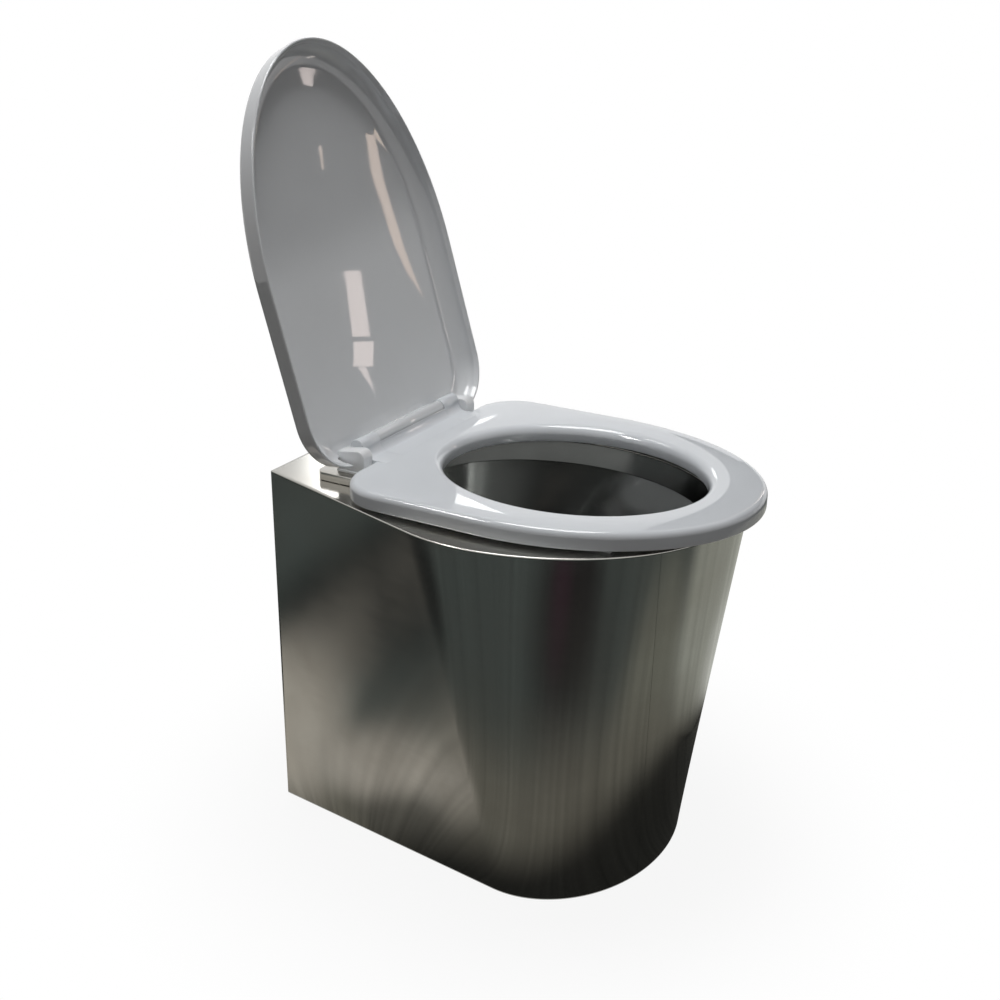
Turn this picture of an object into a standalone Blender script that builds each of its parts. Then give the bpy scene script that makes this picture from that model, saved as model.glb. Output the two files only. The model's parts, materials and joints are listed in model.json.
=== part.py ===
"""Stainless steel toilet: a wrapped sheet pan with a white seat and a lid that stands open.

Metres, +Z up, the front faces -Y and left is -X. The origin is on the floor, under the
middle of the whole object's box. The seat and the lid turn about one line along X.
"""

import math

import bpy
import bmesh
from mathutils import Matrix, Vector

# Pan: the plan at the deck and at the floor
DECK_HEIGHT = 0.415
SHEET = 0.002
GAP = 0.0003
PAN_REAR_Y = 0.264
PAN_REAR_WIDTH = 0.260
PAN_TOP_WIDTH = 0.408
PAN_TOP_WIDEST_Y = 0.016
PAN_TOP_NOSE = 0.240
PAN_FOOT_WIDTH = 0.325
PAN_FOOT_WIDEST_Y = -0.044
PAN_FOOT_NOSE = 0.128
SIDE_BLEND_ANGLE = math.radians(14)
SEAM_TOP_ANGLE = math.radians(57)
SEAM_FOOT_ANGLE = math.radians(68)
TAB_LENGTH = 0.050
TAB_WIDTH = 0.032
TAB_THICKNESS = 0.003
TAB_HOLE_RADIUS = 0.0045
TAB_HOLE_INSET = 0.018
TAB_REAR_MARGIN = 0.060

# Bowl: the opening in the deck, its collar and the chute below it
MOUTH_SIDE_MARGIN = 0.075
MOUTH_FRONT_MARGIN = 0.040
MOUTH_REAR_MARGIN = 0.009
COLLAR_DEPTH = 0.024
COLLAR_TAPER = 0.002
BOWL_STEP = 0.003
BOWL_FLOOR_HEIGHT = 0.1927
BOWL_FLOOR_LENGTH = 0.155
BOWL_FLOOR_WIDTH = 0.140
BOWL_REAR_LEAN = 0.0305
NECK_RADIUS = 0.048
NECK_HEIGHT = 0.150
TRAP_CORE_RADIUS = 0.005
TRAP_FLOOR_GAP = 0.011
TRAP_RISE = 0.009
OUTLET_REACH = 0.020
INLET_RADIUS = 0.0255
INLET_DROP = 0.066
INLET_REACH = 0.026
RING_WIDTH = 0.010
RING_THICKNESS = 0.003

# Hinge: one axis for the seat and the lid
HINGE_Y = 0.1715
HINGE_RISE = 0.0334
ROD_RADIUS = 0.003
ROD_CLEARANCE = 0.0004
BARREL_RADIUS = 0.008
BARREL_HALF_LENGTH = 0.0725
KNUCKLE_RADIUS = 0.009
KNUCKLE_LENGTH = 0.0255
SIDE_PLAY = 0.0005
POST_WIDTH = 0.0165
POST_DEPTH = 0.029
POST_CORNER = 0.007
POST_RISE = 0.007
BASE_PLATE_LENGTH = 0.050
BASE_PLATE_WIDTH = 0.062
BASE_PLATE_THICKNESS = 0.010
BASE_PLATE_MARGIN = 0.010
BASE_PLATE_CHAMFER = 0.006
STUD_INSET = 0.014
STUD_RADIUS = 0.004
STUD_LENGTH = 0.045
STIFFENER_THICKNESS = 0.003
STIFFENER_WIDTH = 0.036
STIFFENER_MARGIN = 0.030
WASHER_RADIUS = 0.012
RUBBER_THICKNESS = 0.003
WASHER_THICKNESS = 0.0016
NUT_RADIUS = 0.008
NUT_HEIGHT = 0.010
WING_SPAN = 0.030
WING_RISE = 0.014
WING_THICKNESS = 0.003

# Seat ring
SEAT_WIDTH = 0.355
SEAT_FRONT_Y = -0.2435
SEAT_WIDEST_Y = -0.013
SEAT_HINGE_SETBACK = 0.0205
SEAT_CORNER_RADIUS = 0.052
SEAT_THICKNESS = 0.020
SEAT_LIFT = 0.004
SEAT_HOLE_SIDE_OVERHANG = 0.0062
SEAT_HOLE_FRONT_OVERHANG = 0.0015
SEAT_HOLE_REAR_OVERHANG = 0.0415
SEAT_OUTER_ROUND = 0.007
SEAT_INNER_ROUND = 0.011
SEAT_UNDER_ROUND = 0.002
SEAT_CROWN = 0.0012
ARM_LENGTH = 0.034
ARM_SHOULDER_LENGTH = 0.021
ARM_SHOULDER_RISE = 0.004
ARM_UNDERSIDE_DROP = 0.0003
ARM_FOOT_SETBACK = 0.0008
BUFFER_LENGTH = 0.030
BUFFER_WIDTH = 0.012
BUFFER_INSET = 0.019
BUFFER_FRONT_Y = -0.130
BUFFER_REAR_Y = 0.080

# Lid: a shallow dish, measured from the hinge axis
LID_WIDTH = 0.339
LID_LENGTH = 0.4224
LID_WIDEST = 0.180
LID_REAR = 0.016
LID_CORNER_RADIUS = 0.058
LID_DEPTH = 0.0244
LID_LIP_DROP = 0.005
LID_WALL = 0.003
LID_DRAFT = 0.002
LID_EDGE_ROUND = 0.010
LID_CROWN = 0.004
LID_NOTCH_PLAY = 0.004
LID_NOTCH_SETBACK = 0.0035
LID_NOTCH_ROOF = 0.0038
LID_WEB_LENGTH = 0.010
LID_OPEN_ANGLE = math.radians(106.57)

# Turned and curved shapes: counts of steps, shares and limits
ROUND_STEPS = 24
WIDE_ROUND_STEPS = 36
COLLAR_STEPS = 48
SEAT_STEPS = 72
ARC_STEPS = 3
BLEND_STEPS = 6
SIDE_STEPS = 10
NOSE_STEPS = 8
CORNER_STEPS = 6
EGG_STEPS = 18
BEND_STEPS = 8
ELBOW_STEPS = 4
HEIGHT_SHARES = (0.0, 0.25, 0.5, 0.75, 1.0)
CROWN_SHARES = (0.75, 0.5, 0.25)
SEAT_CROWN_SHARES = (0.25, 0.5, 0.75)
NECK_SHARE = 1 / 3
MITRE_LIMIT_SHARE = 0.3
ROUND_LIMIT_SHARE = 0.9
BOWL_WIDTH_POWER = 1.3
BOWL_LEAN_POWER = 4.0
SMOOTH_ANGLE = math.radians(32)

# How far a cutter runs past what it cuts
OVERRUN = 0.010

PART_COLLECTION = "stainless_steel_toilet"
CUTTER_COLLECTION = "cutters"


# Scene helpers

def clear_scene():
    """Removes whatever the scene holds."""
    for item in list(bpy.data.objects):
        bpy.data.objects.remove(item, do_unlink=True)


def new_collection(name):
    collection = bpy.data.collections.new(name)
    bpy.context.scene.collection.children.link(collection)
    return collection


def material(name, colour, roughness, metallic):
    """A Principled material in one plain finish."""
    made = bpy.data.materials.new(name)
    made.use_nodes = True
    shader = made.node_tree.nodes["Principled BSDF"]
    shader.inputs["Base Color"].default_value = (*colour, 1.0)
    shader.inputs["Roughness"].default_value = roughness
    shader.inputs["Metallic"].default_value = metallic
    made.diffuse_color = (*colour, 1.0)
    return made


def steel(name):
    return material(name, (0.52, 0.53, 0.53), 0.32, 1.0)


def bright_steel(name):
    return material(name, (0.62, 0.62, 0.62), 0.2, 1.0)


def white_plastic(name):
    return material(name, (0.78, 0.80, 0.82), 0.18, 0.0)


def black_rubber(name):
    return material(name, (0.03, 0.03, 0.03), 0.7, 0.0)


def grey_rubber(name):
    return material(name, (0.55, 0.56, 0.57), 0.6, 0.0)


def from_bmesh(name, shape, collection, finish=None):
    """Makes an object of a bmesh, with its normals facing outwards."""
    bmesh.ops.recalc_face_normals(shape, faces=shape.faces)
    mesh = bpy.data.meshes.new(name)
    shape.to_mesh(mesh)
    shape.free()
    made = bpy.data.objects.new(name, mesh)
    collection.objects.link(made)
    if finish is not None:
        mesh.materials.append(finish)
    return made


def loft(rings, closed_ends=True, wrapped=False):
    """Faces between rings of points; wrapped joins the last ring to the first."""
    shape = bmesh.new()
    rows = [[shape.verts.new(point) for point in ring] for ring in rings]
    count = len(rows[0])
    pairs = list(zip(rows, rows[1:]))
    if wrapped:
        pairs.append((rows[-1], rows[0]))
    for lower, upper in pairs:
        for step in range(count):
            following = (step + 1) % count
            shape.faces.new((lower[step], lower[following], upper[following], upper[step]))
    if closed_ends and not wrapped:
        shape.faces.new(list(reversed(rows[0])))
        shape.faces.new(rows[-1])
    return shape


def plate(points, bottom, top):
    """A flat plate between two heights over a plan outline."""
    return loft([[(x, y, bottom) for x, y in points], [(x, y, top) for x, y in points]])


def box(low, high):
    """A box between two corners."""
    shape = bmesh.new()
    bmesh.ops.create_cube(shape, size=1.0)
    centre = [(a + b) / 2 for a, b in zip(low, high)]
    spans = [b - a for a, b in zip(low, high)]
    bmesh.ops.transform(shape, verts=shape.verts,
                        matrix=Matrix.Translation(centre) @ Matrix.Diagonal((*spans, 1.0)))
    return shape


def cylinder(start, end, radius, steps=ROUND_STEPS):
    """A cylinder between two points."""
    start, end = Vector(start), Vector(end)
    span = end - start
    shape = bmesh.new()
    bmesh.ops.create_cone(shape, cap_ends=True, segments=steps, radius1=radius,
                          radius2=radius, depth=span.length)
    turn = Vector((0, 0, 1)).rotation_difference(span.normalized()).to_matrix().to_4x4()
    bmesh.ops.transform(shape, verts=shape.verts,
                        matrix=Matrix.Translation((start + end) / 2) @ turn)
    return shape


def tube(start, end, outer, inner, steps=ROUND_STEPS):
    """A straight tube between two points: an outer and an inner wall with flat ends."""
    start, end = Vector(start), Vector(end)
    turn = Vector((0, 0, 1)).rotation_difference((end - start).normalized()).to_matrix()
    rings = []
    for centre, radius in ((start, inner), (start, outer), (end, outer), (end, inner)):
        ring = []
        for step in range(steps):
            angle = 2 * math.pi * step / steps
            arm = Vector((radius * math.cos(angle), radius * math.sin(angle), 0))
            ring.append(centre + turn @ arm)
        rings.append(ring)
    return loft(rings, wrapped=True)


def boolean(target, shapes, operation, cutters, solver="EXACT"):
    """Cuts a list of bmeshes out of an object, or joins them to it, one after another."""
    for number, shape in enumerate(shapes):
        tool = from_bmesh(f"{target.name}_{operation.lower()}_{number}", shape, cutters)
        tool.hide_render = True
        tool.display_type = "WIRE"
        step = target.modifiers.new(tool.name, "BOOLEAN")
        step.operation = operation
        step.object = tool
        step.solver = solver


def smooth(made, angle=SMOOTH_ANGLE):
    """Shades an object smooth but keeps its sharp edges."""
    made.data.shade_smooth()
    made.data.set_sharp_from_angle(angle=angle)


# Plan outlines

def quadratic(start, control, end, steps):
    """Points along a quadratic curve, without its last point."""
    points = []
    for step in range(steps):
        share = step / steps
        points.append(tuple((1 - share) ** 2 * a + 2 * share * (1 - share) * b + share ** 2 * c
                            for a, b, c in zip(start, control, end)))
    return points


def nose_point(width, widest_y, nose, angle):
    """A point of the front half ellipse; the angle runs from the side to the front."""
    return width / 2 * math.cos(angle), widest_y - nose * math.sin(angle)


def line_meeting(start, along, other, heading):
    """Where two lines in plan cross, each given by a point and a direction."""
    cross = along.x * heading.y - along.y * heading.x
    gap = other - start
    return start + along * ((gap.x * heading.y - gap.y * heading.x) / cross)


def pan_half(width, widest_y, nose, seam_angle):
    """Half of the pan's plan at one height, from the rear corner to the front.

    The straight side runs to the front half ellipse's widest point, where a short curve
    blends the two. Returns the side's points up to the seam and the front's from there.
    """
    corner = Vector((PAN_REAR_WIDTH / 2, PAN_REAR_Y))
    along = (Vector(nose_point(width, widest_y, nose, 0)) - corner).normalized()
    angle = SIDE_BLEND_ANGLE
    blend_end = Vector(nose_point(width, widest_y, nose, angle))
    heading = Vector((-width / 2 * math.sin(angle), -nose * math.cos(angle)))
    control = line_meeting(corner, along, blend_end, heading)
    blend_start = control - along * (blend_end - control).length
    side = [tuple(corner)]
    side += quadratic(blend_start, control, blend_end, BLEND_STEPS)
    side += [nose_point(width, widest_y, nose, angle + (seam_angle - angle) * step / SIDE_STEPS)
             for step in range(SIDE_STEPS + 1)]
    rest = math.pi / 2 - seam_angle
    front = [nose_point(width, widest_y, nose, seam_angle + rest * step / NOSE_STEPS)
             for step in range(NOSE_STEPS + 1)]
    return side, front


def top_half():
    return pan_half(PAN_TOP_WIDTH, PAN_TOP_WIDEST_Y, PAN_TOP_NOSE, SEAM_TOP_ANGLE)


def foot_half():
    return pan_half(PAN_FOOT_WIDTH, PAN_FOOT_WIDEST_Y, PAN_FOOT_NOSE, SEAM_FOOT_ANGLE)


def whole(half):
    """The closed plan of a half: right side from the rear, then the left side back."""
    side, front = half
    right = side + front[1:]
    left = [(-x, y) for x, y in reversed(right[:-1])]
    return right + left


def inset(points, distance):
    """A closed convex outline moved inwards by a distance."""
    moved = []
    count = len(points)
    centre = Vector((sum(p[0] for p in points) / count, sum(p[1] for p in points) / count))
    for number in range(count):
        here = Vector(points[number])
        before = (here - Vector(points[number - 1])).normalized()
        after = (Vector(points[(number + 1) % count]) - here).normalized()
        normal_a, normal_b = Vector((-before.y, before.x)), Vector((-after.y, after.x))
        middle = (normal_a + normal_b).normalized()
        if middle.dot(centre - here) < 0:
            middle = -middle
        reach = distance / max(abs(middle.dot(normal_a)), MITRE_LIMIT_SHARE)
        moved.append(tuple(here + middle * reach))
    return moved


def ellipse(half_width, half_length, centre_y, steps=WIDE_ROUND_STEPS):
    return [(half_width * math.cos(2 * math.pi * step / steps),
             centre_y + half_length * math.sin(2 * math.pi * step / steps)) for step in range(steps)]


def rounded_half(width, front_y, widest_y, rear_y, corner):
    """Half of an egg plan from the rear middle to the front: corner arc, side, half ellipse."""
    points = [(0.0, rear_y)]
    for step in range(CORNER_STEPS + 1):
        angle = math.pi / 2 * step / CORNER_STEPS
        points.append((width / 2 - corner + corner * math.sin(angle),
                       rear_y - corner + corner * math.cos(angle)))
    for step in range(EGG_STEPS + 1):
        angle = math.pi / 2 * step / EGG_STEPS
        points.append(nose_point(width, widest_y, widest_y - front_y, angle))
    return points


def whole_egg(half):
    return half + [(-x, y) for x, y in reversed(half[1:-1])]


def ray_hit(outline, centre, angle):
    """Where a ray from the centre leaves a closed outline."""
    direction = Vector((math.cos(angle), math.sin(angle)))
    best = None
    for a, b in zip(outline, outline[1:] + outline[:1]):
        a, b = Vector(a) - Vector(centre), Vector(b) - Vector(centre)
        edge = b - a
        cross = direction.x * edge.y - direction.y * edge.x
        if abs(cross) == 0:
            continue
        along = (a.x * edge.y - a.y * edge.x) / cross
        share = (a.x * direction.y - a.y * direction.x) / cross
        if along > 0 and 0 <= share <= 1 and (best is None or along > best):
            best = along
    return Vector(centre) + direction * best


# Pan

def skirt_panel(name, top, foot, collection, finish):
    """A panel of the wrapped skirt: a ruled sheet between its deck and floor lines."""
    shape = bmesh.new()
    deck_under = DECK_HEIGHT - SHEET - GAP
    rows = []
    for share in HEIGHT_SHARES:
        row = []
        for (tx, ty), (fx, fy) in zip(top, foot):
            reach = share * deck_under / DECK_HEIGHT
            row.append(shape.verts.new((fx + (tx - fx) * reach, fy + (ty - fy) * reach,
                                        share * deck_under)))
        rows.append(row)
    for lower, upper in zip(rows, rows[1:]):
        for step in range(len(top) - 1):
            shape.faces.new((lower[step], lower[step + 1], upper[step + 1], upper[step]))
    mesh = bpy.data.meshes.new(name)
    shape.normal_update()
    shape.faces.ensure_lookup_table()
    middle = shape.faces[len(shape.faces) // 2]
    if middle.normal.dot(middle.calc_center_median() - Vector((0, PAN_FOOT_WIDEST_Y, 0))) < 0:
        bmesh.ops.reverse_faces(shape, faces=shape.faces)
    shape.to_mesh(mesh)
    shape.free()
    mesh.materials.append(finish)
    made = bpy.data.objects.new(name, mesh)
    collection.objects.link(made)
    wall = made.modifiers.new("sheet", "SOLIDIFY")
    wall.thickness = SHEET
    wall.offset = -1.0
    wall.use_even_offset = True
    smooth(made)
    return made


def trim_line(points, distance, at_start):
    """Shortens a line of points by a distance at its start or at its end."""
    line = list(points) if at_start else list(reversed(points))
    first, second = Vector(line[0]), Vector(line[1])
    line[0] = tuple(first + (second - first).normalized() * distance)
    return line if at_start else list(reversed(line))


def build_skirt(collection):
    """The two side panels and the front panel, each with a welding gap at its seams."""
    (top_side, top_front), (foot_side, foot_front) = top_half(), foot_half()
    rear_step = SHEET + GAP
    side_top = trim_line(trim_line(top_side, rear_step, True), GAP / 2, False)
    side_foot = trim_line(trim_line(foot_side, rear_step, True), GAP / 2, False)
    skirt_panel("skirt_right", side_top, side_foot, collection, steel("skirt_right_steel"))
    skirt_panel("skirt_left", [(-x, y) for x, y in side_top], [(-x, y) for x, y in side_foot],
                collection, steel("skirt_left_steel"))
    front_top = trim_line(top_front, GAP / 2, True)
    front_foot = trim_line(foot_front, GAP / 2, True)
    front_top += [(-x, y) for x, y in reversed(front_top[:-1])]
    front_foot += [(-x, y) for x, y in reversed(front_foot[:-1])]
    skirt_panel("skirt_front", front_top, front_foot, collection, steel("skirt_front_steel"))


def build_rear_panel(collection, cutters):
    """The flat back sheet, with its holes for the waste outlet and the flush inlet."""
    half = PAN_REAR_WIDTH / 2
    deck_under = DECK_HEIGHT - SHEET - GAP
    made = from_bmesh("rear_panel", box((-half, PAN_REAR_Y - SHEET, 0), (half, PAN_REAR_Y, deck_under)),
                      collection, steel("rear_panel_steel"))
    holes = []
    for height, radius in ((outlet_height(), NECK_RADIUS + SHEET + GAP),
                           (inlet_height(), INLET_RADIUS + SHEET + GAP)):
        holes.append(cylinder((0, PAN_REAR_Y - OVERRUN, height), (0, PAN_REAR_Y + OVERRUN, height),
                              radius, WIDE_ROUND_STEPS))
    boolean(made, holes, "DIFFERENCE", cutters)


def build_deck(collection, cutters):
    """The top plate, with the bowl's mouth and the two hinge stud holes."""
    made = from_bmesh("deck_plate", plate(whole(top_half()), DECK_HEIGHT - SHEET, DECK_HEIGHT),
                      collection, steel("deck_plate_steel"))
    low, high = DECK_HEIGHT - OVERRUN, DECK_HEIGHT + OVERRUN
    cuts = [plate(ellipse(mouth_half_width(), mouth_half_length(), mouth_middle_y()), low, high)]
    for side in (-1, 1):
        x = side * stud_x()
        cuts.append(cylinder((x, base_plate_middle_y(), low), (x, base_plate_middle_y(), high),
                             STUD_RADIUS + GAP))
    boolean(made, cuts, "DIFFERENCE", cutters)


def build_floor_tabs(collection, cutters):
    """Four flat tabs inside the foot of the skirt, each with a hole for a floor screw."""
    inner = inset(whole(foot_half()), SHEET + 2 * GAP)
    for row, y in (("front", PAN_FOOT_WIDEST_Y), ("rear", PAN_REAR_Y - TAB_REAR_MARGIN)):
        for side, name in ((-1, "left"), (1, "right")):
            ends = [ray_hit(inner, (0, y + step * TAB_LENGTH / 2), 0 if side > 0 else math.pi)
                    for step in (-1, 1)]
            near = min(abs(end.x) for end in ends) - TAB_WIDTH
            points = [tuple(ends[0]), tuple(ends[1]), (side * near, ends[1].y), (side * near, ends[0].y)]
            tab = f"floor_tab_{row}_{name}"
            made = from_bmesh(tab, plate(points, 0, TAB_THICKNESS), collection, steel(tab + "_steel"))
            x = side * (near + TAB_WIDTH - TAB_HOLE_INSET)
            boolean(made, [cylinder((x, y, -OVERRUN), (x, y, OVERRUN), TAB_HOLE_RADIUS)], "DIFFERENCE",
                    cutters)


# Bowl and waste way

def mouth_front_y():
    return PAN_TOP_WIDEST_Y - PAN_TOP_NOSE + MOUTH_FRONT_MARGIN


def mouth_rear_y():
    return base_plate_front_y() - MOUTH_REAR_MARGIN


def mouth_middle_y():
    return (mouth_front_y() + mouth_rear_y()) / 2


def mouth_half_length():
    return (mouth_rear_y() - mouth_front_y()) / 2


def mouth_half_width():
    return PAN_TOP_WIDTH / 2 - MOUTH_SIDE_MARGIN


def collar_bottom():
    return DECK_HEIGHT - SHEET - COLLAR_DEPTH


def build_collar(collection):
    """The short tapered ring that hangs under the deck round the bowl's mouth."""
    top, bottom = DECK_HEIGHT - SHEET - GAP, collar_bottom()
    rings = []
    for height, taper, wall in ((top, 0, 0), (top, 0, SHEET),
                                (bottom, COLLAR_TAPER, SHEET), (bottom, COLLAR_TAPER, 0)):
        outline = ellipse(mouth_half_width() - taper + wall, mouth_half_length() - taper + wall,
                          mouth_middle_y(), COLLAR_STEPS)
        rings.append([(x, y, height) for x, y in outline])
    made = from_bmesh("bowl_collar", loft(rings, wrapped=True), collection, steel("bowl_collar_steel"))
    smooth(made)


def bowl_sections():
    """Inner sections of the bowl from the collar down: height, middle Y, half width, half length."""
    top = collar_bottom() - GAP
    half_width = mouth_half_width() + BOWL_STEP
    half_length = mouth_half_length() + BOWL_STEP
    rear_y = mouth_rear_y() + BOWL_STEP
    depth = top - BOWL_FLOOR_HEIGHT
    sections = []
    for share in HEIGHT_SHARES:
        length = half_length + (BOWL_FLOOR_LENGTH / 2 - half_length) * share
        width = half_width + (BOWL_FLOOR_WIDTH / 2 - half_width) * share ** BOWL_WIDTH_POWER
        rear = rear_y - BOWL_REAR_LEAN * share ** BOWL_LEAN_POWER
        sections.append((top - depth * share, rear - length, width, length))
    waist = NECK_HEIGHT + (BOWL_FLOOR_HEIGHT - NECK_HEIGHT) * NECK_SHARE
    sections.append((waist, neck_y(), NECK_RADIUS, NECK_RADIUS))
    sections.append((NECK_HEIGHT, neck_y(), NECK_RADIUS, NECK_RADIUS))
    return sections


def neck_y():
    """The middle of the bowl's floor, where the waste way starts."""
    return mouth_rear_y() + BOWL_STEP - BOWL_REAR_LEAN - BOWL_FLOOR_LENGTH / 2


def build_bowl(collection, cutters):
    """The bowl: a steep rear wall and a sloping front that end in the round neck."""
    inner, outer = [], []
    for height, middle, half_width, half_length in bowl_sections():
        for rings, wall in ((inner, 0), (outer, SHEET)):
            outline = ellipse(half_width + wall, half_length + wall, middle)
            rings.append([(x, y, height) for x, y in outline])
    made = from_bmesh("bowl_body", loft(inner + list(reversed(outer)), wrapped=True),
                      collection, steel("bowl_body_steel"))
    smooth(made)
    height = inlet_height()
    port = cylinder((0, neck_y(), height), (0, inlet_start() + OVERRUN, height), INLET_RADIUS)
    boolean(made, [port], "DIFFERENCE", cutters)


def trap_bend_radius():
    return NECK_RADIUS + SHEET + TRAP_CORE_RADIUS


def trap_low_height():
    """Where the trap's lower bend starts, so that its underside clears the floor."""
    return TRAP_FLOOR_GAP + SHEET + NECK_RADIUS + trap_bend_radius()


def outlet_height():
    return trap_low_height() + TRAP_RISE + trap_bend_radius()


def inlet_height():
    return DECK_HEIGHT - INLET_DROP


def trap_path():
    """The middle line of the trap in the YZ plane: down, round, up and out to the rear."""
    start_y, bend = neck_y(), trap_bend_radius()
    points = [(start_y, NECK_HEIGHT - GAP)]
    for step in range(BEND_STEPS + 1):
        angle = math.pi + math.pi * step / BEND_STEPS
        points.append((start_y + bend + bend * math.cos(angle),
                       trap_low_height() + bend * math.sin(angle)))
    rise_y = start_y + 2 * bend
    for step in range(ELBOW_STEPS + 1):
        angle = math.pi - math.pi / 2 * step / ELBOW_STEPS
        points.append((rise_y + bend + bend * math.cos(angle),
                       outlet_height() - bend + bend * math.sin(angle)))
    return points


def swept_ring(centre, tangent, radius, steps):
    """A ring of points round a place on a path that lies in the YZ plane."""
    across = Vector((1, 0, 0))
    up = tangent.cross(across).normalized()
    return [centre + (across * math.cos(2 * math.pi * step / steps)
                      + up * math.sin(2 * math.pi * step / steps)) * radius for step in range(steps)]


def build_trap(collection):
    """The water trap: one bent pipe with an open bore."""
    path = [Vector((0, y, z)) for y, z in trap_path()]
    tangents = [path[min(n + 1, len(path) - 1)] - path[max(n - 1, 0)] for n in range(len(path))]
    tangents[0], tangents[-1] = Vector((0, 0, -1)), Vector((0, 1, 0))
    steps = ROUND_STEPS
    inner = [swept_ring(p, t.normalized(), NECK_RADIUS, steps) for p, t in zip(path, tangents)]
    outer = [swept_ring(p, t.normalized(), NECK_RADIUS + SHEET, steps) for p, t in zip(path, tangents)]
    made = from_bmesh("trap_bend", loft(inner + list(reversed(outer)), wrapped=True),
                      collection, steel("trap_bend_steel"))
    smooth(made)


def inlet_start():
    """Where the flush pipe meets the outside of the bowl's rear wall."""
    return mouth_rear_y() + BOWL_STEP + SHEET + GAP


def build_pipes(collection):
    """The waste spigot and the flush pipe, each with a ring on the rear panel."""
    outlet_start = trap_path()[-1][0] + GAP
    runs = (("outlet_spigot", outlet_height(), NECK_RADIUS, outlet_start, OUTLET_REACH),
            ("inlet_pipe", inlet_height(), INLET_RADIUS, inlet_start(), INLET_REACH))
    for name, height, bore, start, reach in runs:
        shape = tube((0, start, height), (0, PAN_REAR_Y + reach, height), bore + SHEET, bore,
                     WIDE_ROUND_STEPS)
        smooth(from_bmesh(name, shape, collection, steel(name + "_steel")))
        ring_name = name.split("_")[0] + "_ring"
        face = PAN_REAR_Y + GAP
        shape = tube((0, face, height), (0, face + RING_THICKNESS, height),
                     bore + SHEET + RING_WIDTH, bore + SHEET + GAP, WIDE_ROUND_STEPS)
        smooth(from_bmesh(ring_name, shape, collection, steel(ring_name + "_steel")))


# Hinge and its fixings

def hinge_height():
    return DECK_HEIGHT + HINGE_RISE


def post_inner_x():
    return BARREL_HALF_LENGTH + KNUCKLE_LENGTH + 2 * SIDE_PLAY


def base_plate_front_y():
    return HINGE_Y - POST_DEPTH / 2 - SIDE_PLAY


def base_plate_middle_y():
    return base_plate_front_y() + BASE_PLATE_LENGTH / 2


def base_plate_top():
    return DECK_HEIGHT + GAP + BASE_PLATE_THICKNESS


def base_plate_outer_x():
    return post_inner_x() + POST_WIDTH + BASE_PLATE_MARGIN


def stud_x():
    return base_plate_outer_x() - BASE_PLATE_WIDTH + STUD_INSET


def build_base_plates(collection):
    """Two thick steel plates with cut rear corners, one under each hinge post."""
    outer_x = base_plate_outer_x()
    inner_x = outer_x - BASE_PLATE_WIDTH
    front, cut = base_plate_front_y(), BASE_PLATE_CHAMFER
    rear = front + BASE_PLATE_LENGTH
    outline = [(inner_x, front), (outer_x, front), (outer_x, rear - cut), (outer_x - cut, rear),
               (inner_x + cut, rear), (inner_x, rear - cut)]
    for side, name in ((-1, "left"), (1, "right")):
        points = [(side * x, y) for x, y in outline]
        from_bmesh("hinge_base_" + name, plate(points, DECK_HEIGHT + GAP, base_plate_top()), collection,
                   bright_steel(f"hinge_base_{name}_steel"))


def post_profile():
    """The post's side view in Y and Z from the hinge axis: a block with a rounded top."""
    half, corner = POST_DEPTH / 2, POST_CORNER
    bottom = base_plate_top() + GAP - hinge_height()
    points = [(-half, bottom)]
    for step in range(ARC_STEPS + 1):
        angle = math.pi - math.pi / 2 * step / ARC_STEPS
        points.append((-half + corner + corner * math.cos(angle),
                       POST_RISE - corner + corner * math.sin(angle)))
    for step in range(ARC_STEPS + 1):
        angle = math.pi / 2 - math.pi / 2 * step / ARC_STEPS
        points.append((half - corner + corner * math.cos(angle),
                       POST_RISE - corner + corner * math.sin(angle)))
    points.append((half - corner, bottom))
    return points


def build_posts(collection, cutters):
    """Two white hinge posts with blind holes for the rod."""
    start = post_inner_x()
    for side, name in ((-1, "left"), (1, "right")):
        rings = [[(side * x, HINGE_Y + y, hinge_height() + z) for y, z in post_profile()]
                 for x in (start, start + POST_WIDTH)]
        made = from_bmesh("hinge_post_" + name, loft(rings), collection,
                          white_plastic(f"hinge_post_{name}_plastic"))
        drill = cylinder((side * (start - OVERRUN), HINGE_Y, hinge_height()),
                         (side * (rod_end() + GAP), HINGE_Y, hinge_height()),
                         ROD_RADIUS + ROD_CLEARANCE)
        boolean(made, [drill], "DIFFERENCE", cutters)


def rod_end():
    return post_inner_x() + POST_WIDTH / 2


def build_rod(collection):
    """The steel rod that the seat's knuckles and the lid's barrel turn on."""
    shape = cylinder((-rod_end(), HINGE_Y, hinge_height()), (rod_end(), HINGE_Y, hinge_height()),
                     ROD_RADIUS)
    made = from_bmesh("hinge_rod", shape, collection, bright_steel("hinge_rod_steel"))
    smooth(made)


def build_stiffener(collection, cutters):
    """The bar under the deck that spreads the hinge load."""
    middle, half = base_plate_middle_y(), stud_x() + STIFFENER_MARGIN
    top = DECK_HEIGHT - SHEET - GAP
    bar = box((-half, middle - STIFFENER_WIDTH / 2, top - STIFFENER_THICKNESS),
              (half, middle + STIFFENER_WIDTH / 2, top))
    made = from_bmesh("deck_stiffener", bar, collection, steel("deck_stiffener_steel"))
    cuts = [cylinder((side * stud_x(), middle, top - OVERRUN), (side * stud_x(), middle, top + OVERRUN),
                     STUD_RADIUS + GAP) for side in (-1, 1)]
    boolean(made, cuts, "DIFFERENCE", cutters)


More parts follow.
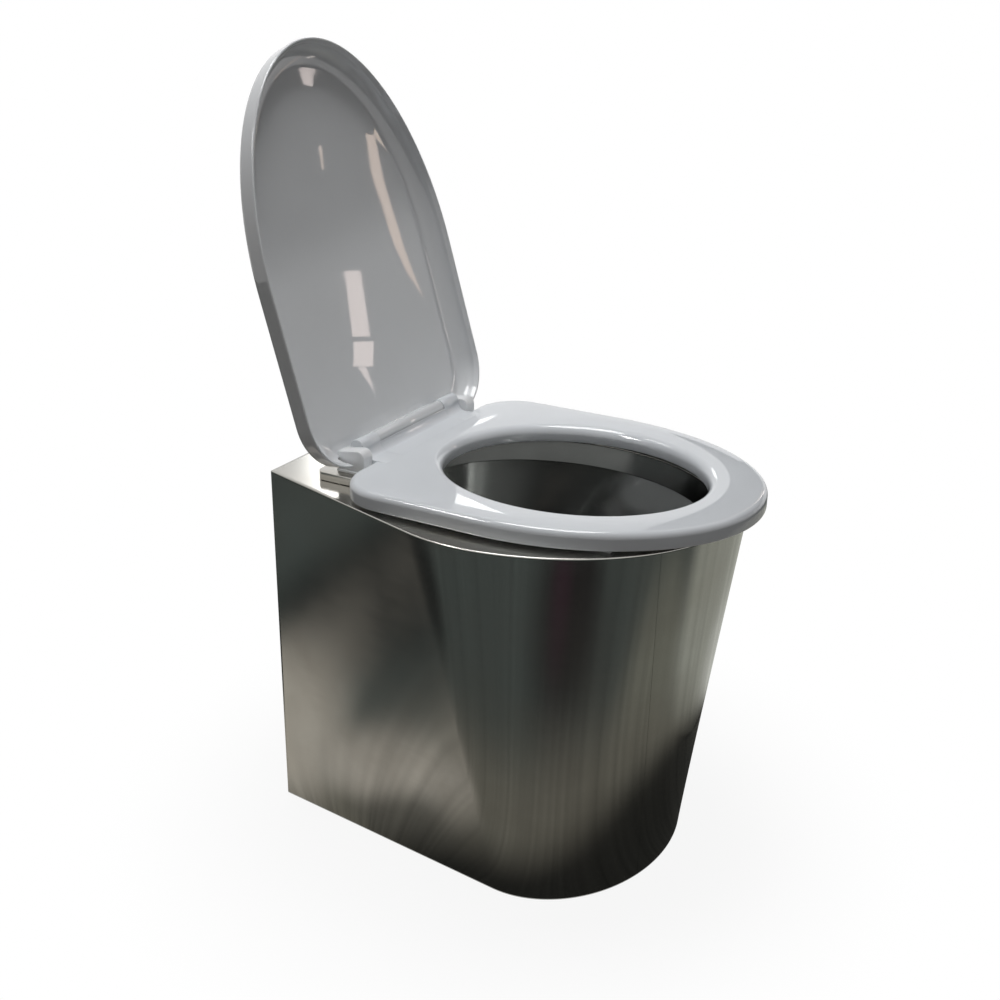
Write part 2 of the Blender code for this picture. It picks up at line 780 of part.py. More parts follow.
def build_fixings(collection, cutters):
    """Under each hinge plate: a stud, a rubber washer, a steel washer and a wing nut."""
    y = base_plate_middle_y()
    under = DECK_HEIGHT - SHEET - STIFFENER_THICKNESS - 2 * GAP
    rubber_low = under - RUBBER_THICKNESS
    washer_top = rubber_low - GAP
    washer_low = washer_top - WASHER_THICKNESS
    nut_top = washer_low - GAP
    bore = STUD_RADIUS + GAP
    for side, name in ((-1, "left"), (1, "right")):
        x = side * stud_x()
        smooth(from_bmesh("hinge_stud_" + name,
                          cylinder((x, y, DECK_HEIGHT - STUD_LENGTH), (x, y, DECK_HEIGHT), STUD_RADIUS),
                          collection, bright_steel(f"hinge_stud_{name}_steel")))
        smooth(from_bmesh("rubber_washer_" + name,
                          tube((x, y, rubber_low), (x, y, under - GAP), WASHER_RADIUS, bore),
                          collection, black_rubber(f"rubber_washer_{name}_rubber")))
        smooth(from_bmesh("steel_washer_" + name,
                          tube((x, y, washer_low), (x, y, washer_top), WASHER_RADIUS, bore),
                          collection, bright_steel(f"steel_washer_{name}_steel")))
        hub = from_bmesh("wing_nut_" + name, cylinder((x, y, nut_top - NUT_HEIGHT), (x, y, nut_top),
                                                      NUT_RADIUS), collection,
                         white_plastic(f"wing_nut_{name}_plastic"))
        wing = box((x - WING_SPAN / 2, y - WING_THICKNESS / 2, nut_top - WING_RISE),
                   (x + WING_SPAN / 2, y + WING_THICKNESS / 2, nut_top - NUT_HEIGHT / 2))
        boolean(hub, [wing], "UNION", cutters)
        boolean(hub, [cylinder((x, y, nut_top - WING_RISE - OVERRUN), (x, y, nut_top + OVERRUN), bore)],
                "DIFFERENCE", cutters)


# Seat

def seat_bottom():
    return DECK_HEIGHT + SEAT_LIFT


def seat_section():
    """The ring's section: which edge a point follows, how far in from it, and its height.

    Between the two rounds the top is crowned, and there the distance is a share of the way.
    """
    edge_top, under = SEAT_THICKNESS - SEAT_CROWN, SEAT_UNDER_ROUND
    points = [("outer", under, 0.0), ("outer", 0.0, under)]
    for step in range(ARC_STEPS + 1):
        angle = math.pi / 2 * step / ARC_STEPS
        points.append(("outer", SEAT_OUTER_ROUND * (1 - math.cos(angle)),
                       edge_top - SEAT_OUTER_ROUND * (1 - math.sin(angle))))
    for share in SEAT_CROWN_SHARES:
        points.append(("between", share, SEAT_THICKNESS - SEAT_CROWN * (1 - 2 * share) ** 2))
    for step in range(ARC_STEPS + 1):
        angle = math.pi / 2 * (1 - step / ARC_STEPS)
        points.append(("inner", SEAT_INNER_ROUND * (1 - math.cos(angle)),
                       edge_top - SEAT_INNER_ROUND * (1 - math.sin(angle))))
    points += [("inner", 0.0, under), ("inner", under, 0.0)]
    return points


def seat_outline():
    return whole_egg(rounded_half(SEAT_WIDTH, SEAT_FRONT_Y, SEAT_WIDEST_Y,
                                  HINGE_Y - SEAT_HINGE_SETBACK, SEAT_CORNER_RADIUS))


def seat_ring_shape():
    """The seat as a closed ring, lofted between its outline and its hole."""
    outline = seat_outline()
    rear, front = mouth_rear_y() - SEAT_HOLE_REAR_OVERHANG, mouth_front_y() + SEAT_HOLE_FRONT_OVERHANG
    middle = (rear + front) / 2
    hole = ellipse(mouth_half_width() - SEAT_HOLE_SIDE_OVERHANG, (rear - front) / 2, middle, SEAT_STEPS)
    rings = []
    for step in range(SEAT_STEPS):
        angle = 2 * math.pi * step / SEAT_STEPS
        outer = ray_hit(outline, (0, middle), angle)
        inner = ray_hit(hole, (0, middle), angle)
        across = (inner - outer).normalized()
        room = (inner - outer).length * ROUND_LIMIT_SHARE / (SEAT_OUTER_ROUND + SEAT_INNER_ROUND)
        room = min(1, room)
        start = outer + across * SEAT_OUTER_ROUND * room
        end = inner - across * SEAT_INNER_ROUND * room
        ring = []
        for edge, distance, height in seat_section():
            reach = across * distance * room
            point = outer + reach if edge == "outer" else inner - reach
            if edge == "between":
                point = start.lerp(end, distance)
            ring.append((point.x, point.y - HINGE_Y, seat_bottom() + height - hinge_height()))
        rings.append(ring)
    return loft(rings, wrapped=True)


def arm_profile():
    """A knuckle and its arm in Y and Z from the hinge axis.

    The knuckle is round. The arm leaves its top, stays high over the seat's rear edge as far
    as its shoulder and runs down into the ring. Its underside lies at the axis and its foot
    starts a little in front of the ring's rear edge, so that a raised seat clears the lid.
    """
    radius, foot = KNUCKLE_RADIUS, SEAT_HINGE_SETBACK + ARM_FOOT_SETBACK
    seat_top = seat_bottom() + SEAT_THICKNESS - hinge_height()
    seat_middle = seat_top - SEAT_THICKNESS / 2
    under = math.pi + math.asin(min(ARM_UNDERSIDE_DROP / radius, ROUND_LIMIT_SHARE))
    top = 2 * math.pi + math.pi / 2
    points = [(radius * math.cos(under + (top - under) * step / ROUND_STEPS),
               radius * math.sin(under + (top - under) * step / ROUND_STEPS))
              for step in range(ROUND_STEPS + 1)]
    return points + [(-ARM_SHOULDER_LENGTH, ARM_SHOULDER_RISE), (-ARM_LENGTH, seat_top - SIDE_PLAY),
                     (-ARM_LENGTH, seat_middle), (-foot, seat_middle), (-foot, -ARM_UNDERSIDE_DROP)]


def build_seat(collection, cutters, hinge):
    """The seat ring with its two arms and knuckles, drilled for the rod."""
    made = from_bmesh("seat_ring", seat_ring_shape(), collection, white_plastic("seat_ring_plastic"))
    made.parent = hinge
    start = BARREL_HALF_LENGTH + SIDE_PLAY
    arms = [loft([[(x, y, z) for y, z in arm_profile()]
                  for x in (side * start, side * (start + KNUCKLE_LENGTH))]) for side in (-1, 1)]
    reach = post_inner_x() + OVERRUN
    drill = cylinder((-reach, 0, 0), (reach, 0, 0), ROD_RADIUS + ROD_CLEARANCE)
    for shape in arms + [drill]:
        bmesh.ops.transform(shape, verts=shape.verts, matrix=hinge.matrix_world)
    boolean(made, arms, "UNION", cutters, solver="MANIFOLD")
    boolean(made, [drill], "DIFFERENCE", cutters, solver="MANIFOLD")
    smooth(made)


def build_buffers(collection, hinge):
    """Four pads under the seat that rest on the deck."""
    low, high = DECK_HEIGHT + GAP - hinge_height(), seat_bottom() - GAP - hinge_height()
    for row, y in (("front", BUFFER_FRONT_Y), ("rear", BUFFER_REAR_Y)):
        reach = ray_hit(seat_outline(), (0, y), 0).x - BUFFER_INSET
        for side, name in ((-1, "left"), (1, "right")):
            x, middle = side * reach, y - HINGE_Y
            pad = box((x - BUFFER_WIDTH / 2, middle - BUFFER_LENGTH / 2, low),
                      (x + BUFFER_WIDTH / 2, middle + BUFFER_LENGTH / 2, high))
            made = from_bmesh(f"seat_buffer_{row}_{name}", pad, collection,
                              grey_rubber(f"seat_buffer_{row}_{name}_rubber"))
            made.parent = hinge


# Lid

def lid_outline():
    """The lid's lip in plan, with the hinge axis at zero and the front at -Y."""
    return whole_egg(rounded_half(LID_WIDTH, -LID_LENGTH, -LID_WIDEST, LID_REAR, LID_CORNER_RADIUS))


def lid_surface():
    """The lid's outer skin: the drafted wall, the round edge and the crowned top."""
    outline = lid_outline()
    wall_top = LID_DEPTH - LID_EDGE_ROUND - LID_LIP_DROP
    rings = [(0.0, -LID_LIP_DROP), (LID_DRAFT, wall_top)]
    for step in range(1, ARC_STEPS + 1):
        angle = math.pi / 2 * step / ARC_STEPS
        rings.append((LID_DRAFT + LID_EDGE_ROUND * (1 - math.cos(angle)),
                      wall_top + LID_EDGE_ROUND * math.sin(angle)))
    shape = bmesh.new()
    rows = [[shape.verts.new((x, y, height)) for x, y in inset(outline, distance)]
            for distance, height in rings]
    edge = [(vert.co.x, vert.co.y) for vert in rows[-1]]
    middle_y = (LID_REAR - LID_LENGTH) / 2
    for share in CROWN_SHARES:
        height = LID_DEPTH - LID_LIP_DROP + LID_CROWN * (1 - share ** 2)
        rows.append([shape.verts.new((x * share, middle_y + (y - middle_y) * share, height))
                     for x, y in edge])
    count = len(outline)
    for lower, upper in zip(rows, rows[1:]):
        for step in range(count):
            following = (step + 1) % count
            shape.faces.new((lower[step], lower[following], upper[following], upper[step]))
    shape.faces.new(rows[-1])
    bmesh.ops.recalc_face_normals(shape, faces=shape.faces)
    if max(shape.faces, key=lambda face: face.calc_center_median().z).normal.z < 0:
        bmesh.ops.reverse_faces(shape, faces=shape.faces)
    return shape


def build_lid(collection, cutters, hinge):
    """The lid shell with its hinge notches and the central barrel on its web."""
    name = "lid_shell"
    mesh = bpy.data.meshes.new(name)
    shape = lid_surface()
    shape.to_mesh(mesh)
    shape.free()
    mesh.materials.append(white_plastic("lid_shell_plastic"))
    made = bpy.data.objects.new(name, mesh)
    collection.objects.link(made)
    made.parent = hinge
    wall = made.modifiers.new("wall", "SOLIDIFY")
    wall.thickness = LID_WALL
    wall.offset = -1.0
    wall.use_even_offset = True
    notch_x = post_inner_x() + POST_WIDTH + LID_NOTCH_PLAY
    roof = LID_DEPTH - LID_LIP_DROP - LID_WALL - LID_NOTCH_ROOF
    rear, above = LID_REAR + OVERRUN, LID_DEPTH + OVERRUN
    cuts = [box((-notch_x, LID_NOTCH_SETBACK, -LID_LIP_DROP - OVERRUN), (notch_x, rear, roof))]
    for side in (-1, 1):
        ends = sorted((side * BARREL_HALF_LENGTH, side * notch_x))
        cuts.append(box((ends[0], LID_NOTCH_SETBACK, -LID_LIP_DROP - OVERRUN), (ends[1], rear, above)))
    half = BARREL_HALF_LENGTH
    web_top = LID_DEPTH - LID_LIP_DROP - LID_WALL / 2
    joins = [box((-half, -LID_WEB_LENGTH / 2, BARREL_RADIUS / 2), (half, LID_WEB_LENGTH / 2, web_top)),
             cylinder((-half, 0, 0), (half, 0, 0), BARREL_RADIUS)]
    reach = half + OVERRUN
    drill = [cylinder((-reach, 0, 0), (reach, 0, 0), ROD_RADIUS + ROD_CLEARANCE)]
    for tool in cuts + joins + drill:
        bmesh.ops.transform(tool, verts=tool.verts, matrix=hinge.matrix_world)
    boolean(made, cuts, "DIFFERENCE", cutters)
    boolean(made, joins, "UNION", cutters)
    boolean(made, drill, "DIFFERENCE", cutters)
    smooth(made)


def hinge_empty(name, collection, angle):
    """An empty on the hinge axis that carries a moving piece."""
    empty = bpy.data.objects.new(name, None)
    empty.location = (0, HINGE_Y, hinge_height())
    empty.rotation_euler = (angle, 0, 0)
    collection.objects.link(empty)
    bpy.context.view_layer.update()
    return empty


def centre_on_origin():
    """Moves everything along Y so that the middle of the whole box is over the origin."""
    bpy.context.view_layer.update()
    graph = bpy.context.evaluated_depsgraph_get()
    reach = []
    for made in bpy.data.collections[PART_COLLECTION].objects:
        if made.type != "MESH":
            continue
        seen = made.evaluated_get(graph)
        reach += [(seen.matrix_world @ vert.co).y for vert in seen.to_mesh().vertices]
        seen.to_mesh_clear()
    middle = (min(reach) + max(reach)) / 2
    for made in bpy.data.objects:
        if made.parent is None:
            made.location.y -= middle
    bpy.context.view_layer.update()
    print("moved back by", round(middle, 5), "hinge axis at Y", round(HINGE_Y - middle, 5))


def main():
    clear_scene()
    collection = new_collection(PART_COLLECTION)
    cutters = new_collection(CUTTER_COLLECTION)
    build_skirt(collection)
    build_rear_panel(collection, cutters)
    build_deck(collection, cutters)
    build_floor_tabs(collection, cutters)
    build_collar(collection)
    build_bowl(collection, cutters)
    build_trap(collection)
    build_pipes(collection)
    build_base_plates(collection)
    build_posts(collection, cutters)
    build_rod(collection)
    build_stiffener(collection, cutters)
    build_fixings(collection, cutters)
    seat_hinge = hinge_empty("seat_hinge", collection, 0)
    build_seat(collection, cutters, seat_hinge)
    build_buffers(collection, seat_hinge)
    lid_hinge = hinge_empty("lid_hinge", collection, -LID_OPEN_ANGLE)
    build_lid(collection, cutters, lid_hinge)
    centre_on_origin()


main()
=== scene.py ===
"""Stainless steel toilet with a white seat and an open lid: its looks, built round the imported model.

Metres, +Z up, the front faces -Y and left is -X. Plan sizes are given in the drawing's
frame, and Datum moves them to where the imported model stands. The seat and the lid are
drawn from the hinge axis.
"""

from __future__ import annotations

import json
import logging
import math
from dataclasses import dataclass
from enum import Enum

import bmesh
import bpy
from mathutils import Matrix, Vector

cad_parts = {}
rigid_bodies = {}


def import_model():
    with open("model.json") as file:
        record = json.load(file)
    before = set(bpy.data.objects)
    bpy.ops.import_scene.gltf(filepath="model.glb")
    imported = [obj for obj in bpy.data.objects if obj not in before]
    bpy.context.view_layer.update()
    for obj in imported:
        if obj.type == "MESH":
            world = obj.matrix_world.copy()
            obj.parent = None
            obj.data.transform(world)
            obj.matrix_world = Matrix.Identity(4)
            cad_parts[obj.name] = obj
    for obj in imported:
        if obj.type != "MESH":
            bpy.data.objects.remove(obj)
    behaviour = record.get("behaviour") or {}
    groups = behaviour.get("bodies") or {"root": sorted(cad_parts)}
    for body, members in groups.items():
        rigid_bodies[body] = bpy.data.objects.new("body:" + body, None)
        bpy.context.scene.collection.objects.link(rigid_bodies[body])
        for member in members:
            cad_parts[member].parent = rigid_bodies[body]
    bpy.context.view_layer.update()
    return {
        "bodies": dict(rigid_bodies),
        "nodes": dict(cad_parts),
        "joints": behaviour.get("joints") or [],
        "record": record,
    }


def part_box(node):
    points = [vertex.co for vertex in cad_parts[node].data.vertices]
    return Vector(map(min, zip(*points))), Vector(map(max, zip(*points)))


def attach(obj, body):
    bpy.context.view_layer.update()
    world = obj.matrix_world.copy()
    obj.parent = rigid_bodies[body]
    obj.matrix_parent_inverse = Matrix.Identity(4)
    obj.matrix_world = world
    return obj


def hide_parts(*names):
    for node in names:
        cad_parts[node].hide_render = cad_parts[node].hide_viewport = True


log = logging.getLogger("steel_toilet")

Point = tuple[float, float, float]
PlanPoint = tuple[float, float]
Rings = list[list[Point]]
Shape = bmesh.types.BMesh
Material = bpy.types.Material
Tree = bpy.types.NodeTree
Node = bpy.types.Node

MM = 0.001
LINE_RATIO = 60.0  # how many times its width a ground line is long
NOISE_LOW, NOISE_HIGH = 0.3, 0.7  # most of a noise's values lie between these
EDGE_STEPS = 3  # faces across a broken edge
SHARP_EDGE = 50.0  # degrees from which a moulded edge is broken
ROUND_PROFILE = 0.5  # a bevel that is an arc
# Lines in each half of an egg plan: its rear edge, its corner, its side and its front.
EGG_REAR_STEPS, EGG_CORNER_STEPS, EGG_SIDE_STEPS, EGG_FRONT_STEPS = 10, 24, 12, 70
SENSOR_MM = 36.0
WHITE = "#ffffff"


class Body(Enum):
    """The bodies that pieces ride on."""

    PAN = "pan"
    SEAT = "seat"
    LID = "lid"


class Side(Enum):
    """Left and right, with the sign of X."""

    LEFT = -1
    RIGHT = 1

    @property
    def word(self) -> str:
        """The side as it stands in a node's name."""
        return self.name.lower()

    def ends(self, first: float, second: float) -> tuple[float, float]:
        """Two distances from the middle as X values on this side, the lower one first."""
        return tuple(sorted((self.value * first, self.value * second)))


class Grain(Enum):
    """The way a steel's grinding runs, as stretch shares along X, Y and Z."""

    LEVEL = (1.0, 1.0, LINE_RATIO)
    ALONG_X = (1.0, LINE_RATIO, LINE_RATIO)
    ALONG_Y = (LINE_RATIO, 1.0, LINE_RATIO)


# Colour and node helpers

def to_linear(colour: str) -> tuple[float, float, float, float]:
    """Turns an sRGB hex colour into linear values, by the sRGB standard's own curve.

    Args:
        colour: six hex digits after a hash sign.

    Returns:
        Linear red, green, blue and a full alpha.
    """
    parts = [int(colour[place:place + 2], 16) / 255 for place in (1, 3, 5)]
    red, green, blue = [part / 12.92 if part <= 0.04045 else ((part + 0.055) / 1.055) ** 2.4
                        for part in parts]
    return red, green, blue, 1.0


def set_node(tree: Tree, node: Node, settings: dict | None = None, links: dict | None = None) -> None:
    """Gives a node its settings and its links.

    Args:
        tree: the node tree that the node is in.
        node: the node.
        settings: values by attribute name, or by input name or number.
        links: output sockets by input name or number. A node stands for its first open one.
    """
    for name, value in (settings or {}).items():
        if isinstance(name, str) and hasattr(node, name):
            setattr(node, name, value)
        else:
            node.inputs[name].default_value = value
    for name, source in (links or {}).items():
        if isinstance(source, Node):
            source = next(socket for socket in source.outputs if socket.enabled)
        tree.links.new(source, node.inputs[name])


def add_node(tree: Tree, kind: str, settings: dict | None = None, links: dict | None = None) -> Node:
    """Adds a node with its settings and its links.

    Args:
        tree: the node tree that gets the node.
        kind: the node's type name after ShaderNode.
        settings: its settings, as set_node takes them.
        links: its links, as set_node takes them.

    Returns:
        The new node.
    """
    node = tree.nodes.new("ShaderNode" + kind)
    set_node(tree, node, settings, links)
    return node


def empty_material(name: str) -> tuple[Material, Tree, Node]:
    """A material with nothing but its Principled shader and output.

    Args:
        name: the material's name.

    Returns:
        The material, its node tree and its Principled shader.
    """
    made = bpy.data.materials.new(name)
    made.use_nodes = True
    return made, made.node_tree, made.node_tree.nodes["Principled BSDF"]


# Finishes

@dataclass(frozen=True)
class Steel:
    """Stainless steel sheet, ground with a belt: a satin metal with fine lines.

    The lines blur reflections along one way, wiped smudges change the gloss in patches,
    and the sheet's slow waves bend what it mirrors. Real grinding lines are about 0.1 mm
    apart, and they are drawn 0.9 mm wide so that they show.
    """

    name: str
    colour: str = "#b4b5b1"
    tint: str = "#a29d95"
    roughness: float = 0.24
    spread: float = 0.06
    line_share: float = 1 / 3
    stretch: float = 0.7
    stretch_turn: float = 0.25
    grain: Grain = Grain.LEVEL
    line_mm: float = 0.9
    line_detail: float = 3.0
    line_breaks: float = 0.65
    smudge_mm: float = 90.0
    smudge_detail: float = 4.0
    smudge_breaks: float = 0.55
    wave_mm: float = 220.0
    wave_detail: float = 1.0
    wave_height_mm: float = 0.25

    def material(self) -> Material:
        """Builds the steel's node tree.

        Returns:
            The material.
        """
        made, tree, shader = empty_material(self.name)
        where = add_node(tree, "TexCoord").outputs["Object"]
        stretched = add_node(tree, "VectorMath",
                             {"operation": "MULTIPLY", 1: self.grain.value}, {0: where})
        lines = add_node(tree, "TexNoise",
                         {"Scale": 1 / (self.line_mm * LINE_RATIO * MM), "Detail": self.line_detail,
                          "Roughness": self.line_breaks}, {"Vector": stretched})
        smudges = add_node(tree, "TexNoise",
                           {"Scale": 1 / (self.smudge_mm * MM), "Detail": self.smudge_detail,
                            "Roughness": self.smudge_breaks}, {"Vector": where})
        waves = add_node(tree, "TexNoise",
                         {"Scale": 1 / (self.wave_mm * MM), "Detail": self.wave_detail}, {"Vector": where})
        shade = add_node(tree, "Mix",
                         {"data_type": "RGBA", 6: to_linear(self.colour), 7: to_linear(self.tint)},
                         {0: smudges})
        rough = add_node(tree, "MapRange",
                         {"From Min": NOISE_LOW, "From Max": NOISE_HIGH, "To Min": self.roughness,
                          "To Max": self.roughness + self.spread}, {"Value": smudges})
        fine = add_node(tree, "MapRange",
                        {"From Min": NOISE_LOW, "From Max": NOISE_HIGH,
                         "To Min": -self.spread * self.line_share, "To Max": self.spread * self.line_share},
                        {"Value": lines})
        total = add_node(tree, "Math", {"operation": "ADD"}, {0: rough, 1: fine})
        slow = add_node(tree, "Bump", {"Strength": 1.0, "Distance": self.wave_height_mm * MM},
                        {"Height": waves})
        set_node(tree, shader, {"Metallic": 1.0},
                 {"Base Color": shade, "Roughness": total, "Normal": slow})
        if self.stretch:
            round_line = add_node(tree, "Tangent", {"direction_type": "RADIAL", "axis": "Z"})
            set_node(tree, shader,
                     {"Anisotropic": self.stretch, "Anisotropic Rotation": self.stretch_turn},
                     {"Tangent": round_line})
        return made


@dataclass(frozen=True)
class GlossPlastic:
    """Injection-moulded thermoset or nylon in white: a hard gloss with a faint orange peel.

    Real orange peel is about 2 mm across, and it is drawn 7 mm across so that it shows.
    """

    name: str
    colour: str = "#e6eaee"
    shade: str = "#dfe2e6"
    roughness: float = 0.04
    spread: float = 0.03
    ior: float = 1.54
    peel_mm: float = 7.0
    peel_detail: float = 1.0
    peel_height_mm: float = 0.006
    cloud_mm: float = 90.0
    cloud_detail: float = 2.0

    def material(self) -> Material:
        """Builds the plastic's node tree.

        Returns:
            The material.
        """
        made, tree, shader = empty_material(self.name)
        where = add_node(tree, "TexCoord").outputs["Object"]
        clouds = add_node(tree, "TexNoise",
                          {"Scale": 1 / (self.cloud_mm * MM), "Detail": self.cloud_detail},
                          {"Vector": where})
        peel = add_node(tree, "TexNoise",
                        {"Scale": 1 / (self.peel_mm * MM), "Detail": self.peel_detail}, {"Vector": where})
        shade = add_node(tree, "Mix",
                         {"data_type": "RGBA", 6: to_linear(self.colour), 7: to_linear(self.shade)},
                         {0: clouds})
        rough = add_node(tree, "MapRange",
                         {"From Min": NOISE_LOW, "From Max": NOISE_HIGH, "To Min": self.roughness,
                          "To Max": self.roughness + self.spread}, {"Value": clouds})
        bump = add_node(tree, "Bump", {"Strength": 1.0, "Distance": self.peel_height_mm * MM},
                        {"Height": peel})
        set_node(tree, shader, {"IOR": self.ior},
                 {"Base Color": shade, "Roughness": rough, "Normal": bump})
        return made


@dataclass(frozen=True)
class MattRubber:
    """Moulded rubber: a dull skin whose fine grain is drawn 1.2 mm across so that it shows."""

    name: str
    colour: str = "#3a3a3a"
    shade: str = "#2c2c2c"
    roughness: float = 0.65
    grain_mm: float = 1.2
    grain_detail: float = 2.0
    grain_height_mm: float = 0.05
    grain_strength: float = 0.6

    def material(self) -> Material:
        """Builds the rubber's node tree.

        Returns:
            The material.
        """
        made, tree, shader = empty_material(self.name)
        where = add_node(tree, "TexCoord").outputs["Object"]
        grain = add_node(tree, "TexNoise",
                         {"Scale": 1 / (self.grain_mm * MM), "Detail": self.grain_detail},
                         {"Vector": where})
        shade = add_node(tree, "Mix",
                         {"data_type": "RGBA", 6: to_linear(self.colour), 7: to_linear(self.shade)},
                         {0: grain})
        bump = add_node(tree, "Bump",
                        {"Strength": self.grain_strength, "Distance": self.grain_height_mm * MM},
                        {"Height": grain})
        set_node(tree, shader, {"Roughness": self.roughness}, {"Base Color": shade, "Normal": bump})
        return made


@dataclass(frozen=True)
class Finishes:
    """Every finish of the object, each made once."""

    skirt: Material
    deck: Material
    bowl: Material
    collar: Material
    pipe: Material
    hinge_steel: Material
    seat: Material
    lid: Material
    post: Material
    nut: Material
    buffer: Material
    washer: Material

    @classmethod
    def mixed(cls) -> "Finishes":
        """Makes all the materials.

        Returns:
            The finishes.
        """
        return cls(
            # Satin sheet ground level round the pan: reflections are drawn out up and down.
            skirt=Steel("satin_ground_steel_skirt", colour="#b3b5b2", tint="#a09e98", roughness=0.13,
                        spread=0.05, stretch=0.85).material(),
            # The same sheet ground across the pan: a clearer mirror than the sides.
            deck=Steel("satin_ground_steel_deck", grain=Grain.ALONG_X, stretch=0.0, roughness=0.13,
                       wave_height_mm=0.1).material(),
            # Pressed and ground inside, with soft bands: the colour is darker than the skirt's as painted
            # shade inside the bowl.
            bowl=Steel("pressed_steel_bowl", colour="#8a8c8a", tint="#7a7b79", roughness=0.16,
                       stretch=0.75, wave_height_mm=0.08).material(),
            # Ground ring under the seat: the darkest steel of all, its colour darkened as painted shade from
            # the seat.
            collar=Steel("ground_steel_collar", colour="#5c5e5c", tint="#50514f", roughness=0.16,
                         stretch=0.75, wave_height_mm=0.08).material(),
            # Drawn tube: dull, with lines along its length.
            pipe=Steel("drawn_steel_pipe", colour="#a9aaa7", tint="#98948d", roughness=0.3,
                       stretch=0.0, grain=Grain.ALONG_Y).material(),
            # Polished plate: pale and nearly a mirror.
            hinge_steel=Steel("polished_steel_plate", colour="#c4c2bd", tint="#b5b1aa", roughness=0.12,
                              stretch=0.0, grain=Grain.ALONG_Y).material(),
            # Moulded thermoset: a cool white with a wet gloss, and clearer still on the lid.
            seat=GlossPlastic("moulded_thermoset_seat").material(),
            lid=GlossPlastic("moulded_thermoset_lid", colour="#e3e5e7", shade="#dcdee0",
                             roughness=0.015, peel_height_mm=0.002).material(),
            # Moulded nylon: a paler white with a soft gloss, and a duller one on the nuts.
            post=GlossPlastic("moulded_nylon_post", colour="#f3f4f5", shade="#ecedee",
                              roughness=0.22).material(),
            nut=GlossPlastic("moulded_nylon_nut", colour="#dcdcd8", shade="#d0d0cc",
                             roughness=0.35).material(),
            # Moulded rubber: matt grey under the seat and matt black under the deck.
            buffer=MattRubber("moulded_grey_rubber_buffer", colour="#b9babc", shade="#adaeb0").material(),
            washer=MattRubber("moulded_black_rubber_washer").material(),
        )


# Meshes

def skin(rings: Rings, wrap: bool = True, caps: bool = False, open_after: int | None = None) -> Shape:
    """Faces between closed rings of points.

    Args:
        rings: rings of equally many points.
        wrap: whether the last ring joins the first.
        caps: whether the first and the last ring are filled.
        open_after: a ring that isn't joined to the next one, so that both are filled.

    Returns:
        The shape.
    """
    shape = bmesh.new()
    rows = [[shape.verts.new(point) for point in ring] for ring in rings]
    count = len(rows[0])
    for number in range(len(rows) if wrap else len(rows) - 1):
        if number == open_after:
            continue
        lower, upper = rows[number], rows[(number + 1) % len(rows)]
        for step in range(count):
            after = (step + 1) % count
            shape.faces.new((lower[step], lower[after], upper[after], upper[step]))
    if caps:
        shape.faces.new(list(reversed(rows[0])))
        shape.faces.new(rows[-1])
    if open_after is not None:
        for row in rows[open_after:open_after + 2]:
            shape.faces.new(row)
    bmesh.ops.recalc_face_normals(shape, faces=shape.faces)
    return shape


def extruded(profile: list[PlanPoint], ends: tuple[float, float],
             at: Point | Vector = (0.0, 0.0, 0.0)) -> Shape:
    """A solid with one side view, in Y and Z from a place, between two X values."""
    return skin([[(x, at[1] + y, at[2] + z) for y, z in profile] for x in ends], wrap=False, caps=True)


def block(low: Point, high: Point) -> Shape:
    """A box between two corners."""
    (x0, y0, z0), (x1, y1, z1) = low, high
    return skin([[(x0, y0, z), (x1, y0, z), (x1, y1, z), (x0, y1, z)] for z in (z0, z1)],
                wrap=False, caps=True)


def bevelled(shape: Shape, width: float, steps: int, angle: float = 30.0) -> Shape:
    """Rounds the edges of a shape that are sharper than an angle.

    Args:
        shape: the shape, changed in place.
        width: the round's width in metres.
        steps: how many faces make the round.
        angle: the smallest edge angle in degrees that is rounded.

    Returns:
        The same shape.
    """
    limit = math.radians(angle)
    edges = [edge for edge in shape.edges if edge.is_manifold and edge.calc_face_angle(0.0) > limit]
    bmesh.ops.bevel(shape, geom=edges, offset=width, segments=steps, profile=ROUND_PROFILE, affect="EDGES",
                    clamp_overlap=True)
    return shape


def merged(shapes: list[Shape]) -> Shape:
    """Puts several shapes into one.

    Args:
        shapes: the shapes, which are freed.

    Returns:
        One shape with all their faces.
    """
    whole = bmesh.new()
    for shape in shapes:
        mesh = bpy.data.meshes.new("part")
        shape.to_mesh(mesh)
        shape.free()
        whole.from_mesh(mesh)
        bpy.data.meshes.remove(mesh)
    return whole


def to_mesh(name: str, shape: Shape) -> bpy.types.Mesh:
    """Turns a shape into a mesh and frees the shape.

    Args:
        name: the mesh's name.
        shape: the shape.

    Returns:
        The mesh.
    """
    mesh = bpy.data.meshes.new(name)
    shape.to_mesh(mesh)
    shape.free()
    return mesh


def carved(shape: Shape, tools: list[Shape]) -> Shape:
    """Cuts tools out of a closed shape.

    Args:
        shape: the closed shape that is cut.
        tools: the closed shapes that are taken away.

    Returns:
        The cut shape.
    """
    target = bpy.data.objects.new("carving", to_mesh("carving", shape))
    cutters = [bpy.data.objects.new(f"cutter_{n}", to_mesh("cutter", tool)) for n, tool in enumerate(tools)]
    for each in [target, *cutters]:
        bpy.context.scene.collection.objects.link(each)
    for cutter in cutters:
        step = target.modifiers.new("cut", "BOOLEAN")
        step.operation, step.object, step.solver = "DIFFERENCE", cutter, "EXACT"
    graph = bpy.context.evaluated_depsgraph_get()
    mesh = bpy.data.meshes.new_from_object(target.evaluated_get(graph))
    result = bmesh.new()
    result.from_mesh(mesh)
    bpy.data.meshes.remove(mesh)
    for each in [target, *cutters]:
        bpy.data.objects.remove(each)
    return result


@dataclass(frozen=True)
class Place:
    """Which body a piece rides on, the nodes it stands for and its material slot."""

    body: Body
    slot: str
    nodes: tuple[str, ...] = ()


